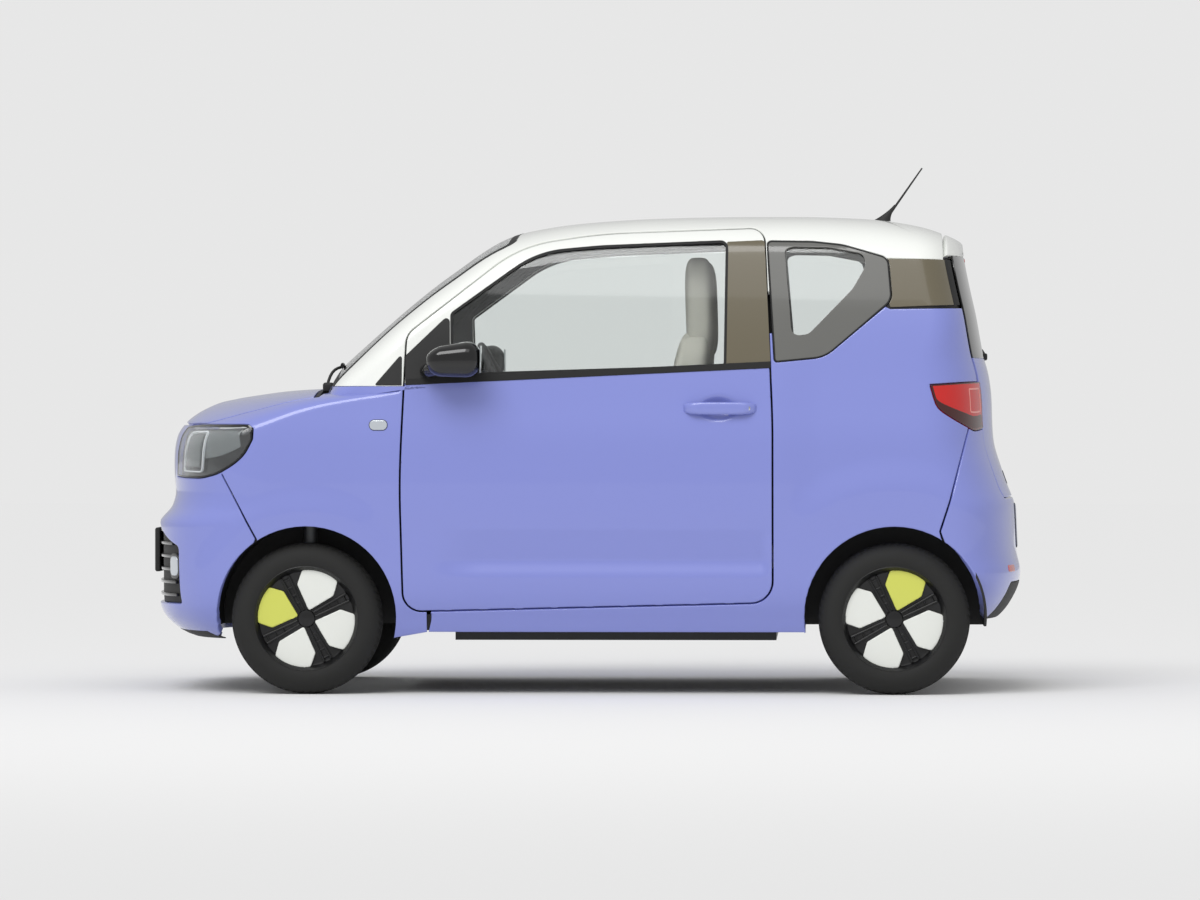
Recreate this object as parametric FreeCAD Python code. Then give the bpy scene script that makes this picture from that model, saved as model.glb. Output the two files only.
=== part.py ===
import FreeCAD, Part
import math
import os

# A two-door electric microcar. Millimetres, +X forward, +Y to the car's left, +Z up.
# The origin is on the ground, midway along the car and between its sides.

# Driving dimensions
body_length = 2920.0
body_width = 1493.0
roof_height = 1590.0
wheel_base = 1940.0
front_axle_x = 910.0
track_width = 1300.0
tyre_radius = 250.0
tyre_width = 145.0
rim_radius = 168.0
arch_radius = 297.0
arch_centre_rise = 8.0

# Clearances
panel_gap = 6.0
moving_gap = 9.0
seat_gap = 0.3
overrun = 40.0

# Wall thicknesses, skin to inner face
door_wall = 58.0
frame_wall = 34.0
side_wall = 62.0
fender_wall = 4.0
lid_wall = 20.0
roof_wall = 26.0
bumper_wall = 22.0
glass_wall = 5.0
glass_recess = 4.0
lamp_depth = 90.0
trim_wall = 12.0

half_width = body_width / 2
rear_axle_x = front_axle_x - wheel_base
wheel_y = track_width / 2

# Outlines as shares: along the car of body_length, across it of half_width, up it of roof_height.
# Nose seen from the side: height, distance forward
nose_line_shares = [
    (0.1069, 0.4418), (0.1208, 0.4658), (0.1390, 0.4801), (0.1579, 0.4901), (0.1792, 0.4949), (0.2075, 0.4959),
    (0.3522, 0.4959), (0.3723, 0.4880), (0.3849, 0.4815), (0.4182, 0.4767), (0.4497, 0.4781), (0.5031, 0.4788),
    (0.5346, 0.4774), (0.5623, 0.4685), (0.5849, 0.4534), (0.5962, 0.4418), (0.6094, 0.4253), (0.6157, 0.4068),
    (0.6208, 0.3870), (0.6308, 0.3510), (0.6358, 0.3243), (0.6371, 0.2962)]
# Bonnet crown seen from the side: distance forward, height
bonnet_line_shares = [
    (0.2055, 0.6390), (0.2962, 0.6384), (0.3243, 0.6371), (0.3510, 0.6314), (0.3870, 0.6214), (0.4068, 0.6157),
    (0.4253, 0.6075), (0.4418, 0.5962), (0.4534, 0.5849), (0.4685, 0.5623), (0.4774, 0.5346), (0.4795, 0.5031)]
# Tail seen from the side: height, distance forward
tail_line_shares = [
    (0.1447, -0.4685), (0.1597, -0.4784), (0.1836, -0.4884), (0.2314, -0.4997), (0.2541, -0.5007),
    (0.2830, -0.4966), (0.3421, -0.4949), (0.3943, -0.4935), (0.4170, -0.4884), (0.4679, -0.4784),
    (0.5277, -0.4692), (0.5660, -0.4678), (0.6126, -0.4671), (0.6642, -0.4637), (0.7025, -0.4579),
    (0.7937, -0.4486), (0.8465, -0.4421), (0.9088, -0.4356), (0.9434, -0.4336)]
# Windscreen and roof seen from the side: distance forward, height
roof_line_shares = [
    (-0.4401, 0.9340), (-0.4356, 0.9440), (-0.4134, 0.9616), (-0.3904, 0.9761), (-0.3613, 0.9868),
    (-0.3329, 0.9937), (-0.3031, 0.9969), (-0.2449, 1.0000), (-0.1866, 1.0000), (-0.1301, 0.9987),
    (-0.0705, 0.9956), (-0.0158, 0.9893), (0.0205, 0.9830), (0.0514, 0.9742), (0.0764, 0.9648),
    (0.0945, 0.9528), (0.1089, 0.9384), (0.1264, 0.9176), (0.1445, 0.8931), (0.1682, 0.8623),
    (0.2034, 0.8101), (0.2271, 0.7723), (0.2623, 0.7145), (0.2860, 0.6730), (0.2952, 0.6371), (0.2979, 0.6226)]
# Body side seen from the front: height, half width
side_line_shares = [
    (0.1069, 0.9002), (0.1289, 0.9243), (0.1572, 0.9431), (0.1887, 0.9672), (0.2201, 0.9792), (0.2516, 0.9846),
    (0.3428, 0.9913), (0.3774, 0.9967), (0.4403, 0.9993), (0.5220, 0.9967), (0.5535, 0.9900), (0.5912, 0.9766),
    (0.6541, 0.9551), (0.6855, 0.9431), (0.7547, 0.9109), (0.8491, 0.8573), (0.9434, 0.7930), (1.0063, 0.7368)]

# How the form turns its corners
nose_corner = 380.0
nose_power = 2.8
tail_corner = 260.0
tail_power = 2.6
cabin_corner = 170.0
roof_edge_depth = 142.0
roof_edge_power = 3.0
screen_edge_power = 2.6
pillar_lean_in = 62.0
fender_top_share = 0.2055
shoulder_shares = [(0.2055, 0.0126), (0.2911, 0.0440), (0.3600, 0.0755), (0.4450, 0.0943), (0.4795, 0.1006)]
shoulder_power_near = 3.2
shoulder_power_far = 2.2
haunch_depth = 13.0
haunch_inner = 425.0
haunch_outer = 545.0
blister_depth = 9.0
blister_inner = 345.0
blister_outer = 440.0
scoop_depth = 15.0
scoop_top = 545.0
scoop_deep = 445.0
scoop_foot = 385.0
scoop_front = 520.0
scoop_fade = 190.0

# Side outlines: distance forward, height, corner radius (of body_length)
door_shares = [
    (0.2007, 0.1730, 0.0205), (0.2045, 0.4403, 1.0274), (0.1976, 0.7472, 0.0205), (0.0702, 0.9314, 0.1438),
    (-0.0205, 0.9566, 0.5137), (-0.2048, 0.9692, 0.0158), (-0.2144, 0.5660, 1.0274), (-0.2147, 0.1925, 0.0240)]
window_shares = [
    (0.1473, 0.7899, 0.0048), (0.0514, 0.9176, 0.1130), (-0.0205, 0.9296, 0.3082), (-0.1630, 0.9403, 0.0068),
    (-0.1613, 0.6824, 0.0041), (0.1459, 0.6648, 0.0041)]
belt_front_share = 0.6453
belt_rear_share = 0.6811
quarter_glass_shares = [
    (-0.2085, 0.9434, 0.0048), (-0.2603, 0.9421, 0.0685), (-0.2945, 0.9352, 0.0685), (-0.3459, 0.9075, 0.0116),
    (-0.3500, 0.8176, 0.0171), (-0.2740, 0.6994, 0.0411), (-0.2173, 0.6893, 0.0034)]
corner_trim_shares = [
    (-0.3373, 0.9057, 0.0021), (-0.4500, 0.9019, 0.0021), (-0.4500, 0.8113, 0.0021), (-0.3479, 0.8038, 0.0021)]
front_seam_shares = [(0.4072, 0.4553), (0.3678, 0.3226)]
rear_seam_shares = [(-0.4380, 0.5572), (-0.4158, 0.4050), (-0.4041, 0.3390)]

V = FreeCAD.Vector


class Outline:
    # A smooth curve through a table of shares that never overshoots its points

    def __init__(self, shares, scale_in, scale_out):
        rows = sorted((a * scale_in, b * scale_out) for a, b in shares)
        self.a = [row[0] for row in rows]
        self.b = [row[1] for row in rows]
        steps = [self.a[i + 1] - self.a[i] for i in range(len(rows) - 1)]
        slopes = [(self.b[i + 1] - self.b[i]) / steps[i] for i in range(len(steps))]
        self.m = [slopes[0]]
        for i in range(1, len(slopes)):
            before, after = slopes[i - 1], slopes[i]
            turns = before * after <= 0
            self.m.append(0 if turns else 2 * before * after / (before + after))
        self.m.append(slopes[-1])

    def at(self, value):
        a, b, m = self.a, self.b, self.m
        if value <= a[0]:
            return b[0]
        if value >= a[-1]:
            return b[-1]
        i = 0
        while a[i + 1] < value:
            i += 1
        step = a[i + 1] - a[i]
        t = (value - a[i]) / step
        return (b[i] * (1 + 2 * t) * (1 - t) ** 2 + m[i] * step * t * (1 - t) ** 2
                + b[i + 1] * t * t * (3 - 2 * t) + m[i + 1] * step * t * t * (t - 1))


nose_line = Outline(nose_line_shares, roof_height, body_length)
bonnet_line = Outline(bonnet_line_shares, body_length, roof_height)
tail_line = Outline(tail_line_shares, roof_height, body_length)
roof_line = Outline(roof_line_shares, body_length, roof_height)
side_line = Outline(side_line_shares, roof_height, half_width)
shoulder_line = Outline(shoulder_shares, body_length, roof_height)


def ease(value):
    # Rises smoothly from 0 to 1 as value does
    t = min(max(value, 0), 1)
    return t * t * (3 - 2 * t)


def rounded(t, power):
    # A superellipse: 1 at t = 0, falling to 0 at t = 1
    if t <= 0:
        return 1
    if t >= 1:
        return 0
    return (1 - t ** power) ** (1 / power)


def side_swell(x, z):
    # What the flat side gains or loses: haunch, arch blister and the scoop low in the door
    rear_reach = math.hypot(x - rear_axle_x, z - tyre_radius)
    front_reach = math.hypot(x - front_axle_x, z - tyre_radius)
    door_rear = door_shares[-2][0] * body_length
    door_front = door_shares[1][0] * body_length
    behind = ease((door_rear - x) / cabin_corner)
    ahead = ease((x - door_front) / cabin_corner)
    above = ease((z - roof_height * belt_front_share) / tail_corner)
    lost = haunch_depth * behind * ease((rear_reach - haunch_inner) / (haunch_outer - haunch_inner)) * (1 - above)
    lost += blister_depth * ahead * ease((front_reach - blister_inner) / (blister_outer - blister_inner))
    if scoop_foot < z < scoop_top:
        down = (scoop_top - z) / (scoop_top - scoop_deep)
        up = (z - scoop_foot) / (scoop_deep - scoop_foot)
        fade = ease((scoop_front - x) / scoop_fade) * ease((x - door_rear) / overrun)
        lost += scoop_depth * min(down, ease(up)) * fade
    return -lost


def lower_width(x, z):
    # Half the width of the lower body at this place, 0 outside it
    width = side_line.at(z) + side_swell(x, z)
    nose = nose_line.at(z)
    tail = tail_line.at(z)
    width *= rounded((x - nose + nose_corner) / nose_corner, nose_power)
    width *= rounded((tail + tail_corner - x) / tail_corner, tail_power)
    top = bonnet_line.at(x)
    depth = shoulder_line.at(x)
    share = ease((x / body_length - fender_top_share) / fender_top_share)
    power = shoulder_power_near + (shoulder_power_far - shoulder_power_near) * share
    if x / body_length > fender_top_share:
        width *= rounded((z - top + depth) / depth, power)
    elif z > top:
        width = 0
    return width


def cabin_width(x, z):
    # Half the width of the cabin at this place, 0 outside it
    if z < belt_front_share * roof_height * 0.9:
        return 0
    lean = pillar_lean_in * ease((x / body_length - fender_top_share) / (roof_line.a[-1] / body_length - fender_top_share))
    width = side_line.at(z) - lean
    if x < fender_top_share * body_length:
        width += side_swell(x, z)
    top = roof_line.at(x)
    if x > roof_line.a[-1]:
        return 0
    share = ease((x / body_length) / fender_top_share)
    power = roof_edge_power + (screen_edge_power - roof_edge_power) * share
    width *= rounded((z - top + roof_edge_depth) / roof_edge_depth, power)
    tail = tail_line.at(z)
    corner = tail_corner + (cabin_corner - tail_corner) * ease((z / roof_height - belt_front_share) / 0.15)
    width *= rounded((tail + corner - x) / corner, tail_power)
    return width


def form_width(x, z):
    return max(lower_width(x, z), cabin_width(x, z))


def cast(start, way, reach, width=form_width):
    # The last point of the form along a ray that starts inside it
    low, high = 0, reach
    for _ in range(34):
        middle = (low + high) / 2
        x, y, z = (start[i] + way[i] * middle for i in range(3))
        if abs(y) < width(x, z):
            low = middle
        else:
            high = middle
    return V(*(start[i] + way[i] * low for i in range(3)))


def top_point(x, y, width=lower_width):
    return cast((x, y, tyre_radius + arch_radius), (0, 0, 1), roof_height, width)


def side_point(x, z, side):
    return V(x, side * form_width(x, z), z)


# Nets of points on the form

def spread(first, last, count):
    return [first + (last - first) * i / (count - 1) for i in range(count)]


def side_net(x_rear, x_front, z_low, z_high, columns, rows):
    # The left side: each column climbs from z_low to z_high of its own x
    net = []
    for share in spread(0, 1, columns):
        column = []
        for climb in spread(0, 1, rows):
            rough = z_low + (roof_height - z_low) * climb
            x = x_rear(rough) + (x_front - x_rear(rough)) * share
            z = z_low + (z_high(x) - z_low) * climb
            column.append(V(x, form_width(x, z), z))
        net.append(column)
    return net


def plan_net(centre_x, angle_of, low_of, high_of, shares, rows):
    # Rays out from an upright line: columns turn round the car's end, rows climb it
    net = []
    for share in shares:
        column = []
        for climb in rows:
            rough = low_of(share) + (high_of(share) - low_of(share)) * climb
            angle = angle_of(share, rough)
            column.append(cast((centre_x, 0, rough), (math.cos(angle), math.sin(angle), 0), body_length))
        net.append(column)
    return net


def smooth_curve(points):
    curve = Part.BSplineCurve()
    curve.interpolate(Points=points, Parameters=spread(0, 1, len(points)))
    return curve


def smooth_surface(grid):
    # Curves through every column of the grid, then curves through their poles
    columns = [smooth_curve(column) for column in grid]
    poles = [column.getPoles() for column in columns]
    across = [smooth_curve([column[k] for column in poles]) for k in range(len(poles[0]))]
    surface = Part.BSplineSurface()
    surface.buildFromPolesMultsKnots(
        [[curve.getPole(i + 1) for curve in across] for i in range(across[0].NbPoles)],
        across[0].getMultiplicities(), columns[0].getMultiplicities(),
        across[0].getKnots(), columns[0].getKnots(), False, False, across[0].Degree, columns[0].Degree)
    return surface


def skin(net, out, back):
    # A solid wall that follows a net, from `out` above it to `back` under it
    columns, rows = len(net), len(net[0])
    sign = 1

    def normal(i, j):
        along = net[min(i + 1, columns - 1)][j] - net[max(i - 1, 0)][j]
        up = net[i][min(j + 1, rows - 1)] - net[i][max(j - 1, 0)]
        return along.cross(up).normalize() * sign

    centre = net[columns // 2][rows // 2]
    if normal(columns // 2, rows // 2).dot(centre - V(0, 0, tyre_radius + arch_radius)) < 0:
        sign = -1
    normals = [[normal(i, j) for j in range(rows)] for i in range(columns)]
    surfaces = []
    for offset in (out, -back):
        surfaces.append(smooth_surface([[net[i][j] + normals[i][j] * offset for j in range(rows)]
                                        for i in range(columns)]))
    faces = [surface.toShape() for surface in surfaces]
    u0, u1, v0, v1 = surfaces[0].bounds()
    for edge_of in (lambda s: s.uIso(u0), lambda s: s.uIso(u1), lambda s: s.vIso(v0), lambda s: s.vIso(v1)):
        first, second = (edge_of(s).toShape() for s in surfaces)
        faces.append(Part.makeRuledSurface(first, second))
    shell = Part.makeShell(faces)
    shell.sewShape()
    solid = Part.makeSolid(shell)
    if solid.Volume < 0:
        solid.reverse()
    return solid


# Flat outlines with round corners, and the prisms they sweep

def corner_points(shares):
    return [(a * body_length, b * roof_height, r * body_length) for a, b, r in shares]


def rounded_wire(corners, place):
    # Straight runs joined by arcs of each corner's own radius
    count = len(corners)
    edges = []
    ends = []
    for i in range(count):
        a, b, radius = corners[i]
        before, after = corners[i - 1], corners[(i + 1) % count]
        back = V(before[0] - a, before[1] - b, 0)
        on = V(after[0] - a, after[1] - b, 0)
        turn = math.pi - back.getAngle(on)
        run = radius * math.tan(turn / 2)
        run = min(run, back.Length * 0.48, on.Length * 0.48)
        start, stop = back.normalize() * run, on.normalize() * run
        radius = run / math.tan(turn / 2)
        middle = (start + stop).normalize() * (radius / math.cos(turn / 2) - radius)
        here = V(a, b, 0)
        ends.append([here + start, here + middle, here + stop])
    for i in range(count):
        start, middle, stop = (place(p.x, p.y) for p in ends[i])
        edges.append(Part.Arc(start, middle, stop).toShape())
        follow = place(ends[(i + 1) % count][0].x, ends[(i + 1) % count][0].y)
        if (follow - stop).Length > seat_gap:
            edges.append(Part.LineSegment(stop, follow).toShape())
        else:
            ends[(i + 1) % count][0] = ends[i][2]
    return Part.Wire(Part.__sortEdges__(edges))


def prism(corners, place, way, grow=0):
    # The swept outline, grown by a clearance
    wire = rounded_wire(corners, place)
    if grow:
        wire = wire.makeOffset2D(grow)
    return Part.Face(wire).extrude(way)


def side_prism(corners, grow=0):
    # From near the car's middle out past its left side
    return prism(corners, lambda x, z: V(x, roof_edge_depth, z), V(0, body_width, 0), grow)


def end_prism(corners, start_x, length, grow=0):
    return prism(corners, lambda y, z: V(start_x, y, z), V(length, 0, 0), grow)


def top_prism(corners, start_z, height, grow=0):
    return prism(corners, lambda x, y: V(x, y, start_z), V(0, 0, height), grow)


def block(x0, x1, y0, y1, z0, z1):
    return Part.makeBox(x1 - x0, y1 - y0, z1 - z0, V(x0, y0, z0))


def rod(start, end, radius):
    way = end - start
    return Part.makeCylinder(radius, way.Length, start, way)


def arch_cutter(axle_x, radius, inner_y):
    # The round opening over a left wheel, from inboard out past the side
    centre = V(axle_x, inner_y, tyre_radius + arch_centre_rise)
    return Part.makeCylinder(radius, body_width, centre, V(0, 1, 0))


nodes = {}


def keep(name, *shapes):
    parts = []
    for shape in shapes:
        parts.extend(shape.Solids)
    nodes[name] = Part.makeCompound(parts) if len(parts) > 1 else parts[0]


def mirrored(shape):
    return shape.mirror(V(0, 0, 0), V(0, 1, 0))


def keep_sides(name, *shapes):
    # One node for each side of the car
    keep(name + "_left", *shapes)
    keep(name + "_right", *[mirrored(shape) for shape in shapes])


def keep_pair(name, *shapes):
    # Both sides in one node
    keep(name, *shapes, *[mirrored(shape) for shape in shapes])


def straight(value):
    return lambda z: value


# Places that several pieces share
floor_top = 262.0
floor_bottom = 226.0
sill_bottom = 205.0
bonnet_rear_x = 890.0
bonnet_front_z = 896.0
lid_gap = 8.0
sill_front_x = 509.0
belt_front_z = belt_front_share * roof_height
belt_rear_z = belt_rear_share * roof_height
door_front_x = door_shares[0][0] * body_length
door_rear_x = door_shares[-1][0] * body_length
door_outline = corner_points(door_shares)
window_outline = corner_points(window_shares)
quarter_outline = corner_points(quarter_glass_shares)
corner_outline = corner_points(corner_trim_shares)
glass_middle = [(quarter_outline[5][0] - overrun * 4, quarter_outline[4][1]),
                (quarter_outline[5][0], quarter_outline[5][1] + overrun * 2),
                (door_rear_x, quarter_outline[5][1] + overrun * 2)]
bonnet_edge_shares = [(0.3048, 0.8700), (0.3500, 0.8450), (0.4000, 0.8050), (0.4300, 0.7350), (0.4500, 0.6000)]
bonnet_edge = Outline(bonnet_edge_shares, body_length, half_width)
tailgate_low_z = 650.0
tailgate_low_y = 500.0
tailgate_high_y = 556.0
tailgate_step_z = 1036.0
glass_low_z = 1112.0
spoiler_front_x = -1198.0
spoiler_low_z = 1452.0
lamp_low_shares = [(0, 0.532), (0.06, 0.500), (0.18, 0.473), (0.32, 0.456), (0.5, 0.449), (1, 0.452)]
lamp_high_shares = [(0, 0.550), (0.06, 0.560), (0.5, 0.560), (1, 0.5555)]
tail_low_shares = [(0, 0.640), (0.06, 0.600), (0.2, 0.580), (0.45, 0.560), (0.7, 0.548), (1, 0.5525)]
tail_high_shares = [(0, 0.6425), (0.5, 0.647), (1, 0.649)]


def roof_limit(x):
    return min(roof_line.at(x) - overrun, roof_height * 0.9735)


def quad(points):
    # A side outline given as plain corners, with hardly any rounding
    return [(x, z, seat_gap) for x, z in points]


def end_angle(centre_x, x, y):
    return math.atan2(y, x - centre_x)


def make_side(cache={}):
    # The left side wall as one net, from which its panels are parted
    if not cache:
        net = side_net(lambda z: tail_line.at(z) + tail_corner * 0.2, sill_front_x - panel_gap / 2, sill_bottom,
                       roof_limit, 22, 20)
        cache["net"] = net
    return cache["net"]


def side_body():
    # Rear quarter and sill, with the door, arches, glass and lamps cut away
    wall = skin(make_side(), 0, side_wall)
    wall = wall.cut(side_prism(door_outline, panel_gap))
    wall = wall.cut(arch_cutter(rear_axle_x, arch_radius, tyre_width))
    wall = wall.cut(arch_cutter(front_axle_x, arch_radius + overrun, tyre_width))
    top = body_length
    above = [(sill_front_x + overrun, sill_bottom + side_wall), (sill_front_x + overrun, top),
             (-top, top), (-top, corner_outline[2][1] - panel_gap),
             (corner_outline[3][0], corner_outline[3][1] - panel_gap)]
    above += [(x, z - seat_gap) for x, z in glass_middle] + [(door_rear_x, sill_bottom + side_wall)]
    wall = wall.cut(side_prism(quad(above))).cut(side_prism(quarter_outline, seat_gap))
    behind = side_prism(seam_band(scaled(rear_seam_shares), False, panel_gap / 2))
    wall = wall.cut(behind.common(block(-body_length, 0, 0, body_width, 0, tail_low.at(0.5) + panel_gap)))
    wall = wall.cut(tail_lamp(overrun, tail_lamp_depth + seat_gap, panel_gap / 2))
    wall = wall.cut(end_prism(gate_outline(), tail_centre_x, -body_length, panel_gap))
    return max(wall.Solids, key=lambda solid: solid.Volume)


def plan_shares(count):
    return spread(0, 1, count)


def lamp_net(centre_x, outer, inner, low, high, columns, rows, grow=0):
    # A lamp wraps round the corner: columns turn from its outer end to its inner one
    first, last = end_angle(centre_x, *outer), end_angle(centre_x, *inner)
    turn = grow / half_width
    sign = 1 if last < first else -1
    first, last = first + sign * turn, last - sign * turn
    return plan_net(centre_x, lambda share, z: first + (last - first) * share,
                    lambda share: low.at(share) - grow, lambda share: high.at(share) + grow,
                    spread(0, 1, columns), spread(0, 1, rows))


nose_centre_x = 900.0
tail_centre_x = -900.0
lamp_outer = (1085.0, 724.0)
lamp_inner = (1332.0, 405.0)
tail_outer = (-1160.0, 728.0)
tail_inner = (-1352.0, 522.0)
lamp_low = Outline(lamp_low_shares, 1, roof_height)
lamp_high = Outline(lamp_high_shares, 1, roof_height)
tail_low = Outline(tail_low_shares, 1, roof_height)
tail_high = Outline(tail_high_shares, 1, roof_height)


def headlamp(out, back, grow=0):
    return skin(lamp_net(nose_centre_x, lamp_outer, lamp_inner, lamp_low, lamp_high, 12, 6, grow), out, back)


tail_lamp_depth = 40.0


def tail_lamp(out, back, grow=0):
    return skin(lamp_net(tail_centre_x, tail_outer, tail_inner, tail_low, tail_high, 12, 6, grow), out, back)


# Doors

hinge_x = 571.0
hinge_y = 717.0
hinge_pin_radius = 7.0
hinge_tall = 64.0
hinge_heights = (430.0, 860.0)
hinge_arm = 8.0
hinge_room = 16.0
handle_front_x = -335.0
handle_rear_x = -577.0
handle_z = 944.0
handle_height = 42.0
handle_proud = 24.0
mirror_front_x = 507.0
mirror_rear_x = 325.0
mirror_low_z = 1042.0
mirror_high_z = 1168.0
mirror_inner_y = 742.0
mirror_outer_y = 872.0


def belt_band(above, grow=0):
    # Everything above or below the line under the windows
    reach = roof_height if above else 0
    lift = grow if above else -grow
    return quad([(body_length, belt_front_z + lift), (door_front_x, belt_front_z + lift),
                 (door_rear_x, belt_rear_z + lift), (-body_length, belt_rear_z + lift),
                 (-body_length, reach), (body_length, reach)])


def door_net():
    return side_net(straight(door_rear_x - overrun), door_front_x + overrun, floor_bottom, roof_limit, 14, 18)


def make_doors():
    outline = side_prism(door_outline)
    window = side_prism(window_outline)
    net = door_net()
    panel = skin(net, 0, door_wall).common(outline).cut(side_prism(belt_band(True, -seat_gap / 2)))
    frame = skin(net, 0, frame_wall).common(outline).cut(side_prism(belt_band(False, -seat_gap / 2))).cut(window)
    glass = skin(net, -glass_recess, glass_recess + glass_wall).common(side_prism(window_outline, -seat_gap))
    y = form_width((handle_front_x + handle_rear_x) / 2, handle_z)
    grip = block(handle_rear_x, handle_front_x, y - trim_wall, y + handle_proud,
                 handle_z - handle_height / 2, handle_z + handle_height / 2)
    grip = grip.makeFillet(handle_height * 0.3, grip.Edges)
    finger = rod(V((handle_front_x + handle_rear_x) / 2, y, handle_z - handle_height * 2),
                 V((handle_front_x + handle_rear_x) / 2, y, handle_z + handle_height * 2), handle_proud * 0.45)
    panel = panel.fuse(grip.cut(finger))
    for z in hinge_heights:
        pin = V(hinge_x, hinge_y, z - hinge_tall / 2 - trim_wall - seat_gap)
        panel = panel.cut(rod(pin, pin + V(0, 0, hinge_tall + (trim_wall + seat_gap) * 2), hinge_pin_radius + seat_gap))
        panel = panel.cut(block(hinge_x - hinge_room, hinge_x + overrun, hinge_y - door_wall, hinge_y + hinge_room,
                                z - hinge_tall / 2, z + hinge_tall / 2))
    keep_sides("door_panel", panel)
    keep_sides("door_frame", frame)
    keep_sides("door_glass", glass)


def make_mirrors():
    shell = block(mirror_rear_x, mirror_front_x, mirror_inner_y, mirror_outer_y, mirror_low_z, mirror_high_z)
    shell = shell.makeFillet((mirror_high_z - mirror_low_z) * 0.3, shell.Edges)
    foot = block(mirror_front_x - side_wall, mirror_front_x - trim_wall, mirror_inner_y - side_wall,
                 mirror_inner_y + side_wall, mirror_low_z + trim_wall, mirror_low_z + side_wall)
    foot = foot.cut(nodes["door_panel_left"]).cut(nodes["door_frame_left"]).cut(nodes["door_glass_left"])
    foot = max(foot.Solids, key=lambda solid: solid.CenterOfMass.y)
    keep_sides("mirror", shell.fuse(foot))


# Front end

front_seam = Outline([(b, a) for a, b in front_seam_shares], roof_height, body_length)
rear_seam = Outline([(b, a) for a, b in rear_seam_shares], roof_height, body_length)
bumper_row_shares = [0, 0.03, 0.07, 0.12, 0.18, 0.27, 0.37, 0.47, 0.525, 0.555, 0.585, 0.62, 0.69, 0.77, 0.86, 0.94, 1]
front_bumper_low_z = 179.0
rear_bumper_low_z = 244.0
grille_high_z = 566.0
grille_low_z = 294.0
grille_middle_y = 330.0
grille_outer_y = 606.0
grille_outer_high_z = 486.0
plate_width = 440.0
plate_height = 140.0
plate_wall = 8.0
front_plate_z = 467.0
rear_plate_z = 545.0
plate_hole_pitch = 210.0
plate_hole_radius = 3.5


def bonnet_net():
    columns = []
    for along in spread(0, 1, 14):
        column = []
        for across in spread(-1, 1, 17):
            low, high = bonnet_rear_x, nose_line.at(bonnet_front_z)
            for _ in range(30):
                middle = (low + high) / 2
                inside = lower_width(middle, bonnet_front_z) > abs(across) * bonnet_edge.at(middle)
                low, high = (middle, high) if inside else (low, middle)
            x = bonnet_rear_x + (low - bonnet_rear_x) * along
            column.append(top_point(x, across * (bonnet_edge.at(x) - panel_gap / 2)))
        columns.append(column)
    return columns


def fender_net():
    columns = []
    centre_y, centre_z = half_width * 0.4, roof_height * 0.4
    for x in spread(sill_front_x + panel_gap / 2, lamp_inner[0] - nose_corner * 0.18, 19):
        first = V(x, lower_width(x, sill_bottom), sill_bottom)
        last = top_point(x, bonnet_edge.at(x) + panel_gap / 2)
        start = math.atan2(first.z - centre_z, first.y - centre_y)
        stop = math.atan2(last.z - centre_z, last.y - centre_y)
        column = [cast((x, centre_y, centre_z), (0, math.cos(turn), math.sin(turn)), body_width, lower_width)
                  for turn in spread(start, stop, 20)]
        columns.append(column)
    return columns


def seam_band(points, ahead, grow):
    # Everything in front of or behind a bumper's side seam
    (top_x, top_z), (low_x, low_z) = points[0], points[-1]
    far = body_length if ahead else -body_length
    line = [(x + grow, z) for x, z in points]
    return quad([(line[0][0], roof_height)] + line + [(line[-1][0], 0), (far, 0), (far, roof_height)])


def scaled(points):
    return [(a * body_length, b * roof_height) for a, b in points]


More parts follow.
